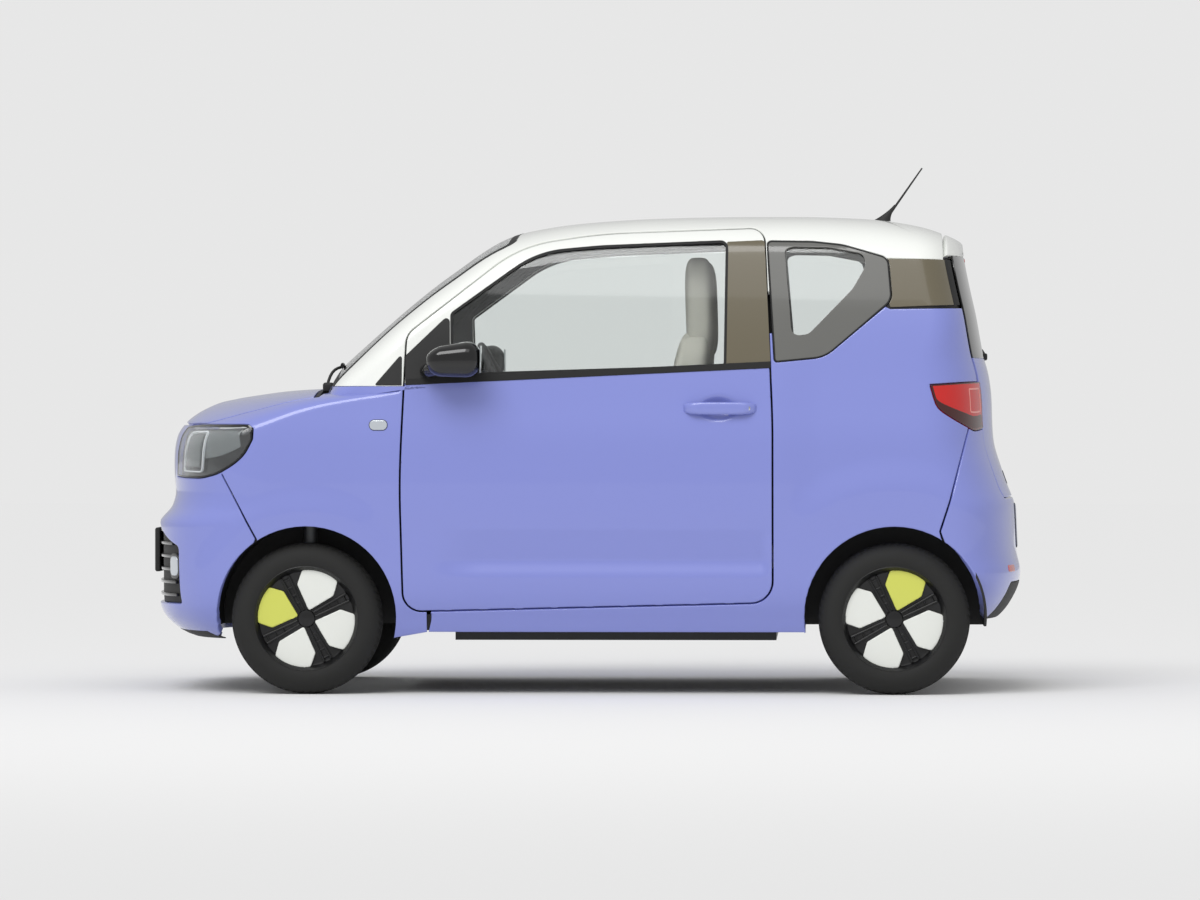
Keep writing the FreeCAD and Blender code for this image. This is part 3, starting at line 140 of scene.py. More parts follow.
def sideSwell(x, z):
    # What the flat side loses away from the haunch and the arch blister, and in the scoop low in the door
    length = form["length"]
    rear = np.hypot(x - form["rearAxle"], z - form["tyreRadius"])
    front = np.hypot(x - form["frontAxle"], z - form["tyreRadius"])
    doorRear, doorFront = form["doorRear"] * length, form["doorFront"] * length
    above = ease((z - form["height"] * form["belt"]) / form["tailCorner"])
    deep, inner, outer = form["haunch"]
    lost = deep * ease((doorRear - x) / form["cabinCorner"]) * ease((rear - inner) / (outer - inner)) * (1 - above)
    deep, inner, outer = form["blister"]
    lost = lost + deep * ease((x - doorFront) / form["cabinCorner"]) * ease((front - inner) / (outer - inner))
    deep, top, low, foot = form["scoop"]
    down, up = np.clip((top - z) / (top - low), 0, 1), ease((z - foot) / (low - foot))
    fade = ease((form["scoopFront"] - x) / form["scoopFade"]) * ease((x - doorRear) / form["doorFade"])
    return -(lost + deep * np.minimum(down, up) * fade)


def shoulder(x, z):
    # Share of the width left at this height ahead of the windscreen's foot, 1 below the shoulder and 0 at the bonnet
    depth = shoulderLine(x)
    share = x / form["length"] - form["fenderTop"]
    power = form["nearPower"] + (form["farPower"] - form["nearPower"]) * ease(share / form["fenderTop"])
    return share > 0, rounded((z - bonnetTop(x) + depth) / depth, power)


def lowerWidth(x, z):
    # Side line times the nose, tail and shoulder superellipses
    width = sideLine(z) + sideSwell(x, z)
    width = width * rounded((x - noseLine(z) + form["noseCorner"]) / form["noseCorner"], form["nosePower"])
    width = width * rounded((tailLine(z) + form["tailCorner"] - x) / form["tailCorner"], form["tailPower"])
    ahead, left = shoulder(x, z)
    return width * np.where(ahead, left, np.where(z > bonnetTop(x), 0, 1))


def tailCorner(z):
    # The tail's corner is wide on the body and tighter on the cabin
    step = ease((z / form["height"] - form["belt"]) / form["cornerStep"])
    return form["tailCorner"] + (form["cabinCorner"] - form["tailCorner"]) * step


def cabinWidth(x, z):
    # Side line less the pillars' lean, times the roof and rear superellipses
    length, last = form["length"], roofShares[-1][0]
    lean = form["pillarLean"] * ease((x / length - form["fenderTop"]) / (last - form["fenderTop"]))
    width = sideLine(z) - lean + np.where(x < form["fenderTop"] * length, sideSwell(x, z), 0)
    share = ease(x / length / form["fenderTop"])
    power = form["roofPower"] + (form["screenPower"] - form["roofPower"]) * share
    width = width * rounded((z - roofLine(x) + form["roofEdge"]) / form["roofEdge"], power)
    width = width * rounded((tailLine(z) + tailCorner(z) - x) / tailCorner(z), form["tailPower"])
    return width * np.where((z < form["belt"] * form["height"] * form["cabinLow"]) | (x > last * length), 0, 1)


def formWidth(x, z):
    # The wider of body and cabin
    return np.maximum(lowerWidth(x, z), cabinWidth(x, z))


halvings = 34


def cast(start, way, reach, width=formWidth):
    # Halves the stretch of each ray again and again to find where it leaves the form
    low, high = np.zeros(len(start)), np.full(len(start), float(reach))
    for _ in range(halvings):
        middle = (low + high) / 2
        p = start + way * middle[:, None]
        inside = np.abs(p[:, 1]) < width(p[:, 0], p[:, 2])
        low, high = np.where(inside, middle, low), np.where(inside, high, middle)
    return start + way * low[:, None]


# Ways over the form. Each lift turns flat places (a, b) into points on it, and each place function goes back.

def wrapTable(corner, power):
    # Distance round a superellipse corner of this depth, from its tip: rows of (distance, along share, across share)
    turn = np.linspace(0, math.pi / 2, 1600)
    scale = (np.cos(turn) ** power + np.sin(turn) ** power) ** (-1 / power)
    along, across = np.cos(turn) * scale, np.sin(turn) * scale
    steps = np.hypot(np.diff(along * corner), np.diff(across * form["half"]))
    return np.concatenate([[0], np.cumsum(steps)]), along, across


noseWrap = wrapTable(form["noseCorner"], form["nosePower"])
tailWrap = wrapTable(form["cabinCorner"], form["tailPower"])


def roundPlace(share, wrap, corner):
    # Distance round an end from its middle; share is how far back the point lies on the corner, beyond it if negative
    return np.interp(-share, -wrap[1], wrap[0]) - np.minimum(share, 0) * corner


def noseFull(x, z):
    # Half width without the nose's own rounding
    ahead, left = shoulder(x, z)
    return (sideLine(z) + sideSwell(x, z)) * np.maximum(np.where(ahead, left, 1), form["leastShoulder"])


def noseLift(flat):
    # a is the distance round the nose from its middle, b the height
    distance, along, across = noseWrap
    s, z = np.abs(flat[:, 0]), flat[:, 1]
    beyond = np.maximum(s - distance[-1], 0)
    x = noseLine(z) - form["noseCorner"] * (1 - np.interp(s, distance, along)) - beyond
    y = np.interp(s, distance, across) * noseFull(x, z)
    return np.stack([x, np.sign(flat[:, 0]) * y, z], axis=1)


def nosePlace(x, z, y=None):
    # The flat place of a point given by x, or by y where one is given
    x, z = np.broadcast_arrays(np.asarray(x, float), np.asarray(z, float))
    if y is None:
        share = (x - noseLine(z)) / form["noseCorner"] + 1
        return np.stack([roundPlace(share, noseWrap, form["noseCorner"]), z], axis=-1)
    share = np.abs(y) / noseFull(x, z)
    return np.stack([np.sign(y) * np.interp(share, noseWrap[2], noseWrap[0]), z], axis=-1)


def tailLift(flat):
    # a is the distance round the tail from its middle, b the height
    distance, along, across = tailWrap
    s, z = np.abs(flat[:, 0]), flat[:, 1]
    beyond = np.maximum(s - distance[-1], 0)
    x = tailLine(z) + tailCorner(z) * (1 - np.interp(s, distance, along)) + beyond
    top = rounded((z - roofLine(x) + form["roofEdge"]) / form["roofEdge"], form["roofPower"])
    y = np.interp(s, distance, across) * (sideLine(z) + sideSwell(x, z)) * top
    return np.stack([x, np.sign(flat[:, 0]) * y, z], axis=1)


def tailPlace(x, z):
    # The flat place of a point on the left given by x
    x, z = np.broadcast_arrays(np.asarray(x, float), np.asarray(z, float))
    share = (tailLine(z) + tailCorner(z) - x) / tailCorner(z)
    return np.stack([roundPlace(share, tailWrap, tailCorner(z)), z], axis=-1)


def tailAcross(y, z):
    # The flat place of a point on the tail given by y
    y, z = np.broadcast_arrays(np.asarray(y, float), np.asarray(z, float))
    share = np.clip(np.abs(y) / sideLine(z), 0, 1)
    return np.stack([np.sign(y) * np.interp(share, tailWrap[2], tailWrap[0]), z], axis=-1)


def sideLift(flat):
    # a is x, b the height, y the form's half width there
    return np.stack([flat[:, 0], formWidth(flat[:, 0], flat[:, 1]), flat[:, 1]], axis=1)


def topLift(width, low):
    # Straight up from each (x, y) to the form
    def lift(flat):
        start = np.stack([flat[:, 0], flat[:, 1], np.full(len(flat), low)], axis=1)
        return cast(start, np.tile([0.0, 0.0, 1.0], (len(flat), 1)), form["height"], width)
    return lift


def turnLift(width, centre, wide):
    # a is x, b the angle from level at which a ray leaves the line (centre y, centre z)
    def lift(flat):
        x, turn = flat[:, 0], flat[:, 1]
        tall = roofLine(x) - centre[1] if wide else 1
        start = np.stack([x, np.full(len(x), centre[0]), np.full(len(x), centre[1])], axis=1)
        way = np.stack([0 * x, (wide or 1) * np.cos(turn) / tall, np.sin(turn)], axis=1)
        return cast(start, way, form["length"], width)
    return lift


def turnPlace(points, centre, wide):
    # The (x, angle) of points, the turn of their height and width from the line
    tall = roofLine(points[:, 0]) - centre[1] if wide else 1
    rise = (points[:, 2] - centre[1]) / tall
    return np.stack([points[:, 0], np.arctan2(rise, (points[:, 1] - centre[0]) / (wide or 1))], axis=1)


# Flat outlines

def roundedOutline(corners, pitch=0.008):
    # Corners (a, b, radius) joined by straight runs; each corner is an arc of its radius
    corners = np.array(corners, float)
    pieces = []
    for i in range(len(corners)):
        here, radius = corners[i, :2], corners[i, 2]
        back, on = corners[i - 1, :2] - here, corners[(i + 1) % len(corners), :2] - here
        room = 0.48 * min(np.linalg.norm(back), np.linalg.norm(on))
        back, on = back / np.linalg.norm(back), on / np.linalg.norm(on)
        turn = math.pi - math.acos(np.clip(back @ on, -1, 1))
        run = min(radius * math.tan(turn / 2), room)
        radius = run / math.tan(turn / 2)
        centre = here + (back + on) / np.linalg.norm(back + on) * radius / math.cos(turn / 2)
        first, last = here + back * run - centre, here + on * run - centre
        count = max(4, int(radius * turn / pitch) + 2)
        t = np.linspace(0, 1, count)[:, None]
        pieces.append(centre + (first * np.sin((1 - t) * turn) + last * np.sin(t * turn)) / math.sin(turn))
    return np.concatenate(pieces)


def rectangle(left, right, low, high, radius=0, pitch=0.008):
    # Four corners, each an arc of the radius
    corners = [(left, low), (right, low), (right, high), (left, high)]
    return roundedOutline([(a, b, radius) for a, b in corners], pitch) if radius else np.array(corners)


def evened(points, pitch):
    # The same closed line in steps no longer than pitch, its corners kept
    ahead = np.roll(points, -1, axis=0)
    runs = np.linalg.norm(ahead - points, axis=1)
    points, ahead, runs = points[runs > 1e-5], ahead[runs > 1e-5], runs[runs > 1e-5]
    counts = np.maximum(np.ceil(runs / pitch).astype(int), 1)
    place = np.repeat(np.arange(len(points)), counts)
    step = np.arange(counts.sum()) - np.repeat(np.cumsum(counts) - counts, counts)
    t = (step / counts[place])[:, None]
    return points[place] * (1 - t) + ahead[place] * t


def loopArea(points):
    # Positive where the line runs anticlockwise
    ahead = np.roll(points, -1, axis=0)
    return 0.5 * np.sum(points[:, 0] * ahead[:, 1] - ahead[:, 0] * points[:, 1])


def offsetLine(points, distance):
    # Every point moved inwards, whichever way round the line runs
    ahead, behind = np.roll(points, -1, axis=0), np.roll(points, 1, axis=0)
    first, second = points - behind, ahead - points
    first = first / np.linalg.norm(first, axis=1, keepdims=True)
    second = second / np.linalg.norm(second, axis=1, keepdims=True)
    way = first + second
    way = way / np.maximum(np.linalg.norm(way, axis=1, keepdims=True), 1e-9)
    inwards = np.stack([-way[:, 1], way[:, 0]], axis=1) * np.sign(loopArea(points))
    stretch = 1 / np.maximum(np.sum(first * way, axis=1, keepdims=True), 0.5)
    return points + inwards * distance * stretch


def insideOf(points, outline):
    # Odd count of the outline's edges to the right of each point
    a, b = outline, np.roll(outline, -1, axis=0)
    px, py = points[:, :1], points[:, 1:]
    crosses = (a[:, 1] > py) != (b[:, 1] > py)
    rise = np.where(b[:, 1] == a[:, 1], 1e-12, b[:, 1] - a[:, 1])
    at = a[:, 0] + (py - a[:, 1]) * (b[:, 0] - a[:, 0]) / rise
    return (crosses & (px < at)).sum(axis=1) % 2 == 1


def clipLine(points, place, way):
    # What of a closed line lies on the side of a straight line that `way` points to
    side = (points - place) @ np.array(way)
    kept = []
    for i in range(len(points)):
        j = (i + 1) % len(points)
        if side[i] >= 0:
            kept.append(points[i])
        if (side[i] >= 0) != (side[j] >= 0):
            kept.append(points[i] + (points[j] - points[i]) * side[i] / (side[i] - side[j]))
    return np.array(kept)


def keptOut(points, others, distance):
    # Those points that lie farther than distance from all the others
    near = np.zeros(len(points), bool)
    for start in range(0, len(others), 200):
        gaps = points[:, None, :] - others[None, start:start + 200, :]
        near |= (np.sum(gaps * gaps, axis=2) < distance * distance).any(axis=1)
    return points[~near]


otherSide = {False: (1, 1, 1), True: (1, -1, 1)}


def newMesh(name, points, faces, materials, sharp=180, marks=None):
    # One object at the origin from point and face arrays, turned inside out where its volume comes out negative. Edges
    # that bend more than `sharp` degrees are shaded sharp; marks are the faces' material numbers.
    mesh = bpy.data.meshes.new(name)
    mesh.from_pydata(np.asarray(points).tolist(), [], faces.tolist() if hasattr(faces, "tolist") else faces)
    for material in materials:
        mesh.materials.append(finish[material])
    if marks is not None:
        mesh.polygons.foreach_set("material_index", np.asarray(marks, dtype=np.int32))
    mesh.polygons.foreach_set("use_smooth", np.full(len(mesh.polygons), True))
    mesh.update()
    mesh.calc_loop_triangles()
    corners = np.empty(len(mesh.loop_triangles) * 3, np.int32)
    mesh.loop_triangles.foreach_get("vertices", corners)
    a, b, c = np.asarray(points, float)[corners.reshape(-1, 3)].transpose(1, 0, 2)
    if np.einsum("ij,ij->", a, np.cross(b, c)) < -1e-12:
        mesh.flip_normals()
    if sharp < 180:
        mesh.set_sharp_from_angle(angle=math.radians(sharp))
    thing = bpy.data.objects.new(name, mesh)
    bpy.context.scene.collection.objects.link(thing)
    return thing


def filledRegion(outline, cutters, pitch, edge):
    # Triangles over what lies inside the outline and outside every cutter, with the directed loops of its rim
    lines = [evened(np.asarray(line), pitch * 0.8) for line in (outline, *cutters)]
    fixed = np.concatenate(lines)

    def held(points):
        # Inside the outline and outside every cutter
        keep = insideOf(points, lines[0])
        for line in lines[1:]:
            keep &= ~insideOf(points, line)
        return keep

    low, high = lines[0].min(axis=0), lines[0].max(axis=0)
    grid = np.stack(np.meshgrid(np.arange(low[0], high[0], pitch), np.arange(low[1], high[1], pitch)), axis=-1)
    grid = grid.reshape(-1, 2)
    grid = keptOut(grid[held(grid)], fixed, pitch * 0.6)
    extra = np.concatenate([offsetLine(line, way * edge * 2.2) for line in lines for way in (1, -1)])
    extra = keptOut(extra[held(extra)], fixed, edge * 1.5)
    flat = np.concatenate([fixed, extra, grid])
    edges, start = [], 0
    for line in lines:
        edges += [(start + i, start + (i + 1) % len(line)) for i in range(len(line))]
        start += len(line)
    found = geometry.delaunay_2d_cdt([Vector(p) for p in flat.tolist()], edges, [], 0, 1e-6, False)
    spots = np.array([tuple(p) for p in found[0]])
    faces = np.array([f for f in found[2] if len(f) == 3])
    faces = faces[held(spots[faces].mean(axis=1))]
    label = np.arange(len(spots))
    for _ in range(400):
        lowest = label[faces].min(axis=1)
        before = label.copy()
        for i in range(3):
            np.minimum.at(label, faces[:, i], lowest)
        label = label[label]
        if (label == before).all():
            break
    group = label[faces[:, 0]]
    faces = faces[group == np.bincount(group).argmax()]
    used, faces = np.unique(faces, return_inverse=True)
    spots, faces = spots[used], faces.reshape(-1, 3)
    a, b, c = (spots[faces[:, i]] for i in range(3))
    area = (b[:, 0] - a[:, 0]) * (c[:, 1] - a[:, 1]) - (b[:, 1] - a[:, 1]) * (c[:, 0] - a[:, 0])
    faces[area < 0] = faces[area < 0][:, ::-1]
    ways = np.concatenate([faces[:, [0, 1]], faces[:, [1, 2]], faces[:, [2, 0]]])
    size = len(spots)
    codes, backs = ways[:, 0] * size + ways[:, 1], ways[:, 1] * size + ways[:, 0]
    follow = dict(ways[~np.isin(codes, backs)].tolist())
    loops = []
    while follow:
        first = next(iter(follow))
        loop, here = [], first
        while here in follow:
            loop.append(here)
            here = follow.pop(here)
        loops.append(np.array(loop))
    return spots, faces, [loop for loop in loops if len(loop) > 2]


def panel(name, outline, lift, material, depth=0.020, cutters=(), scale=(1, 1), pitch=0.010, edge=0.0025,
          inner=None, proud=0.0, mirror=False, way=None):
    # A closed sheet that follows the form over a flat region: filled face, rounded edge, wall and inner face.
    # scale turns flat units into metres; proud lifts the face off the form; mirror makes the car's other side; way
    # gives the direction in which the wall runs where the form is too curved for its own normals.
    scale = np.array(scale, float)
    cuts = [np.asarray(line) * scale for line in cutters]
    spots, faces, loops = filledRegion(np.asarray(outline) * scale, cuts, pitch, edge)
    step, core = 0.0040, (0, 0, 0.55)

    def raised(places):
        # Points on the form, their normals by differences, and whether these point away from the car's core
        here = lift(places / scale)
        along = lift((places + (step, 0)) / scale) - lift((places - (step, 0)) / scale)
        up = lift((places + (0, step)) / scale) - lift((places - (0, step)) / scale)
        normal = np.cross(along, up)
        normal = normal / np.maximum(np.linalg.norm(normal, axis=1, keepdims=True), 1e-12)
        return here, normal, np.mean(np.sum(normal * (here - core), axis=1)) > 0

    rims = [spots[loop] for loop in loops]
    for loop, rim in zip(loops, rims):
        spots[loop] = offsetLine(rim, edge * np.sign(loopArea(rim)))
    here, normal, outward = raised(spots)
    normal = way(here) if way else normal * (1 if outward else -1)
    points = [here + normal * proud, here + normal * (proud - depth)]
    count, total = len(here), 2 * len(here)
    blocks = [faces, faces[:, ::-1] + count]
    marks = [np.zeros(len(faces)), np.full(len(faces), 1 if inner else 0)]
    for loop, rim in zip(loops, rims):
        rows = [loop]
        for turn in (math.pi / 4, math.pi / 2, math.pi / 2):
            place = spots[loop] + (rim - spots[loop]) * math.sin(turn)
            spot, push, _ = raised(place)
            drop = depth if len(rows) == 3 else edge * (1 - math.cos(turn))
            push = way(spot) if way else push * (1 if outward else -1)
            points.append(spot + push * (proud - drop))
            rows.append(np.arange(total, total + len(loop)))
            total += len(loop)
        rows.append(loop + count)
        for a, b in zip(rows[:-1], rows[1:]):
            blocks.append(np.stack([a, b, np.roll(b, -1), np.roll(a, -1)], axis=1))
            marks.append(np.zeros(len(loop)))
    points = np.concatenate(points) * otherSide[mirror]
    faces = [face for block in blocks for face in block.tolist()]
    return newMesh(name, points, faces, [material, inner] if inner else [material], 50, np.concatenate(marks))


def sideways(points):
    # Straight out to the left at every point
    return np.tile([0.0, 1.0, 0.0], (len(points), 1))


def fromLine(height):
    # Straight away from a line along the car at this height
    def way(points):
        # From the line to each point, made one long
        out = points * (0, 1, 1) - (0, 0, height)
        return out / np.linalg.norm(out, axis=1, keepdims=True)
    return way


def roundedLoop(points, radius, rounds=6):
    # A closed line whose corners are softened by averaging with the neighbours, in steps worked out from the radius
    points = evened(points, radius * 0.25)
    for _ in range(rounds):
        points = points * 0.5 + (np.roll(points, 1, axis=0) + np.roll(points, -1, axis=0)) * 0.25
    return points


def gridFaces(rows, columns, ring=False):
    # Quads over a grid of points closed round its columns, and with ring also from its last row to its first
    a = np.arange(rows * columns).reshape(rows, columns)
    a = np.concatenate([a, a[:1]]) if ring else a
    b = np.roll(a, -1, axis=1)
    return np.stack([a[:-1], b[:-1], b[1:], a[1:]], axis=-1).reshape(-1, 4)


def closedGrid(name, points, material, mirror=False, sharp=40):
    # A tube of rings, its ends closed by one face each
    rows, columns = points.shape[:2]
    ends = [list(range(columns))[::-1], list(range((rows - 1) * columns, rows * columns))]
    faces = gridFaces(rows, columns).tolist() + ends
    return newMesh(name, points.reshape(-1, 3) * otherSide[mirror], faces, [material], sharp)


def roundedBlock(name, low, high, radius, material, mirror=False, taper=None, steps=6):
    # Ellipsoid directions pushed out by the radius from a smaller block's corners; taper moves the whole point array
    low, high = np.array(low, float), np.array(high, float)
    centre, reach = (low + high) / 2, (high - low) / 2
    radius = min(radius, reach.min() * 0.999)
    turn = np.concatenate([np.linspace(q, q + 1, steps) for q in range(4)]) * math.pi / 2
    sign = np.repeat(np.array([(1, 1), (-1, 1), (-1, -1), (1, -1)]), steps, axis=0)
    rise = np.concatenate([np.linspace(-0.985, 0, steps), np.linspace(0, 0.985, steps)]) * math.pi / 2
    up = np.repeat([-1, 1], steps)
    out = np.stack([np.cos(rise)[:, None] * np.cos(turn), np.cos(rise)[:, None] * np.sin(turn),
                    np.sin(rise)[:, None] * np.ones(len(turn))], axis=-1)
    inner = np.stack([np.broadcast_to(sign[:, 0], out.shape[:2]), np.broadcast_to(sign[:, 1], out.shape[:2]),
                      np.broadcast_to(up[:, None], out.shape[:2])], axis=-1) * (reach - radius)
    points = centre + inner + out * radius
    if taper:
        points = taper(points)
    return closedGrid(name, points, material, mirror, 60)


def tube(name, path, radius, material, mirror=False, sides=14, taper=1.0):
    # A round section carried along a path; its radius runs to radius times taper at the end
    path = np.array(path, float)
    along = np.gradient(path, axis=0)
    along = along / np.linalg.norm(along, axis=1, keepdims=True)
    other = np.where(np.abs(along[:, 2:]) > 0.9, (1.0, 0, 0), (0, 0, 1.0))
    first = np.cross(along, other)
    first = first / np.linalg.norm(first, axis=1, keepdims=True)
    second = np.cross(along, first)
    turn = np.linspace(0, 2 * math.pi, sides, endpoint=False)
    size = (radius * np.linspace(1, taper, len(path)))[:, None, None]
    ring = first[:, None, :] * np.cos(turn)[None, :, None] + second[:, None, :] * np.sin(turn)[None, :, None]
    return closedGrid(name, path[:, None, :] + ring * size, material, mirror, 50)


def turned(name, profile, centre, material, count=96, mirror=False, sharp=40, cut=0):
    # A closed profile of (distance from the axle, offset outboard) turned round a line along y through the centre. cut
    # is what each point loses of its distance.
    profile = np.array(profile, float)
    turn = np.linspace(0, 2 * math.pi, count, endpoint=False)
    radius = profile[:, :1] - cut
    points = np.stack([centre[0] + radius * np.cos(turn), centre[1] + profile[:, 1:] + 0 * turn,
                       centre[2] + radius * np.sin(turn)], axis=-1)
    faces = gridFaces(len(profile), count, True)
    return newMesh(name, points.reshape(-1, 3) * otherSide[mirror], faces, [material], sharp)


# Materials

def shade(name, colour, roughness=0.5, metallic=0.0, coat=0.0, transmission=0.0, ior=1.45):
    # One Principled material; a clear one lets the light straight through
    material = bpy.data.materials.new(name)
    material.use_nodes = True
    shader = material.node_tree.nodes["Principled BSDF"]
    values = {"Base Color": (*colour, 1), "Roughness": roughness, "Metallic": metallic, "Coat Weight": coat,
              "Coat Roughness": 0.04, "Transmission Weight": transmission, "IOR": ior}
    for socket, value in values.items():
        shader.inputs[socket].default_value = value
    return material


def grained(material, size, depth):
    # A fine noise bump on Object coordinates, for moulded plastic, rubber and cloth
    tree = material.node_tree
    place = tree.nodes.new("ShaderNodeTexCoord")
    noise = tree.nodes.new("ShaderNodeTexNoise")
    bump = tree.nodes.new("ShaderNodeBump")
    noise.inputs["Scale"].default_value = 1 / size
    noise.inputs["Detail"].default_value = 3
    bump.inputs["Strength"].default_value = 0.5
    bump.inputs["Distance"].default_value = depth
    tree.links.new(place.outputs["Object"], noise.inputs["Vector"])
    tree.links.new(noise.outputs["Fac"], bump.inputs["Height"])
    tree.links.new(bump.outputs["Normal"], tree.nodes["Principled BSDF"].inputs["Normal"])
    return material


def srgb(red, green, blue):
    # Screen colour of 0 to 255 turned into linear light
    share = np.array([red, green, blue]) / 255
    return tuple(np.where(share <= 0.04045, share / 12.92, ((share + 0.055) / 1.055) ** 2.4))


finish = {
    "bodyPaint": shade("lavenderPaint", srgb(128, 137, 208), 0.36, 0.0, 0.9),
    "roofPaint": shade("whitePaint", srgb(236, 238, 234), 0.36, 0.0, 0.8),
    "film": shade("taupeFilm", srgb(102, 95, 77), 0.24, 0.0, 0.5),
    "blackTrim": grained(shade("grainedBlackPlastic", srgb(38, 38, 38), 0.62), 0.0012, 0.0002),
    "blackGloss": shade("glossBlack", srgb(14, 14, 15), 0.12, 0.0, 0.5),
    "seal": shade("rubberSeal", srgb(16, 16, 17), 0.55),
    "glass": shade("clearGlass", (0.90, 0.93, 0.92), 0.0, 0.0, 1.0, 1.0, 1.02),
    "frit": shade("greyGlassBorder", srgb(104, 104, 101), 0.14, 0.0, 0.5),
    "darkGlass": shade("darkGlass", srgb(26, 27, 28), 0.06, 0.0, 0.8),
    "interior": shade("darkMouldedInterior", srgb(52, 52, 54), 0.6),
    "interiorPale": shade("paleMouldedInterior", srgb(196, 194, 188), 0.6),
    "chrome": shade("brightMetal", srgb(205, 208, 210), 0.14, 1.0),
    "tyre": grained(shade("tyreRubber", srgb(31, 31, 30), 0.75), 0.0020, 0.0002),
    "wheelBlack": shade("glossBlackWheel", srgb(13, 13, 14), 0.36, 0.0, 0.15),
    "petalWhite": shade("whiteInsert", srgb(226, 228, 222), 0.4, 0.0, 0.3),
    "petalLime": shade("limeInsert", srgb(206, 210, 92), 0.4, 0.0, 0.3),
    "lampRed": shade("redLens", srgb(196, 22, 18), 0.10, 0.0, 0.8),
    "lampDark": shade("smokedLens", srgb(62, 12, 12), 0.10, 0.0, 0.8),
    "lampSmoke": shade("smokedHousing", srgb(34, 35, 37), 0.22, 0.2, 0.4),
    "lampClear": shade("clearLampCover", (0.95, 0.97, 0.98), 0.0, 0.0, 1.0, 1.0, 1.02),
    "lampGrey": shade("greyReflector", srgb(120, 124, 124), 0.25, 0.3, 0.3),
    "mirrorGlass": shade("mirrorGlass", srgb(200, 205, 208), 0.05, 1.0),
    "underbody": shade("underbodyCoat", srgb(30, 30, 32), 0.7),
    "lampLens": shade("projectorLens", srgb(196, 202, 208), 0.08, 0.3, 0.8),
    "tailGlow": shade("paleTailRing", srgb(226, 140, 132), 0.2, 0.0, 0.5),
    "lampLight": shade("lightBar", srgb(236, 238, 240), 0.25, 0.0, 0.5),
    "seat": shade("paleSeatCloth", srgb(206, 202, 192), 0.85),
    "plate": shade("blankPlate", srgb(24, 24, 26), 0.45),
    "rearPlate": shade("blankRearPlate", srgb(176, 180, 192), 0.45),
    "cast": shade("castAlloy", srgb(120, 122, 124), 0.5, 0.8),
    "steel": shade("blackChassisPaint", srgb(30, 30, 31), 0.5, 0.0, 0.2),
}
seams = {"gap": 0.006, "doorWall": 0.058, "frameWall": 0.034, "sideWall": 0.062, "fenderWall": 0.004, "lidWall": 0.020,
         "roofWall": 0.026, "bumperWall": 0.022, "glassRecess": 0.004}


def shares(rows):
    # Rows of (x, z, radius) shares as metres
    return np.array(rows) * (form["length"], form["height"], form["length"])


doorCorners = shares([
    (0.2007, 0.1730, 0.0205), (0.2045, 0.4403, 1.0274), (0.1976, 0.7472, 0.0205), (0.0702, 0.9314, 0.1438),
    (-0.0205, 0.9566, 0.5137), (-0.2048, 0.9692, 0.0158), (-0.2144, 0.5660, 1.0274), (-0.2147, 0.1925, 0.0240)])
windowCorners = shares([
    (0.1473, 0.7899, 0.0048), (0.0514, 0.9176, 0.1130), (-0.0205, 0.9296, 0.3082), (-0.1630, 0.9403, 0.0068),
    (-0.1613, 0.6824, 0.0041), (0.1459, 0.6648, 0.0041)])
quarterCorners = shares([
    (-0.2085, 0.9434, 0.0048), (-0.2603, 0.9421, 0.0685), (-0.2945, 0.9352, 0.0685), (-0.3459, 0.9075, 0.0116),
    (-0.3500, 0.8176, 0.0171), (-0.2740, 0.6994, 0.0411), (-0.2173, 0.6893, 0.0034)])
trimCorners = shares([
    (-0.3373, 0.9057, 0.0021), (-0.4500, 0.9019, 0.0021), (-0.4500, 0.8113, 0.0021), (-0.3479, 0.8038, 0.0021)])
doorOutline = roundedOutline(doorCorners)
windowOutline = roundedOutline(windowCorners)
quarterOutline = roundedOutline(quarterCorners)
doorHole = offsetLine(doorOutline, -seams["gap"])
beltFront = np.array([0.2007 * form["length"], form["belt"] * form["height"]])
beltRear = np.array([-0.2147 * form["length"], 0.6811 * form["height"]])
beltWay = np.array([-(beltFront - beltRear)[1], (beltFront - beltRear)[0]])
beltWay = beltWay / np.linalg.norm(beltWay)
arch = {"radius": 0.297, "rise": 0.258}


def archLine(axle, first, last, count=60):
    # Points on the wheel arch between two angles in degrees, from straight ahead upwards
    turn = np.radians(np.linspace(first, last, count))
    return np.stack([axle + arch["radius"] * np.cos(turn), arch["rise"] + arch["radius"] * np.sin(turn)], axis=1)


def placed(thing, body, slot, *nodesHeld):
    # Gives a piece its moving body and hides the nodes it stands for; slot is not used
    for node in nodesHeld:
        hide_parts(node)
    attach(thing, body)
    return thing


def onBothSides(name, node, body, slot, outline, lift, material, **options):
    # The same panel on the left and, mirrored, on the right. A node in brackets goes with the left one alone.
    for side in ("left", "right"):
        thing = panel(name + side.capitalize(), outline, lift, material, mirror=side == "right", **options)
        held = node if isinstance(node, str) else node[0] if node and side == "left" else None
        placed(thing, body.format(side=side), slot, *([held.format(side=side)] if held else []))


# Doors
doorDetail = {"sealWidth": 0.006, "beltHeight": 0.022, "beltDrop": 0.006, "surround": 0.0625,
              "surroundOut": 0.010, "surroundIn": 0.016, "glassWall": 0.0035, "filmWall": 0.003,
              "dish": {"x": -0.450, "z": 0.944, "long": 0.068, "tall": 0.044, "deep": 0.020, "power": 1.5}}
belowBelt = clipLine(doorOutline, beltFront, -beltWay)
aboveBelt = clipLine(doorOutline, beltFront + beltWay * 0.0005, beltWay)


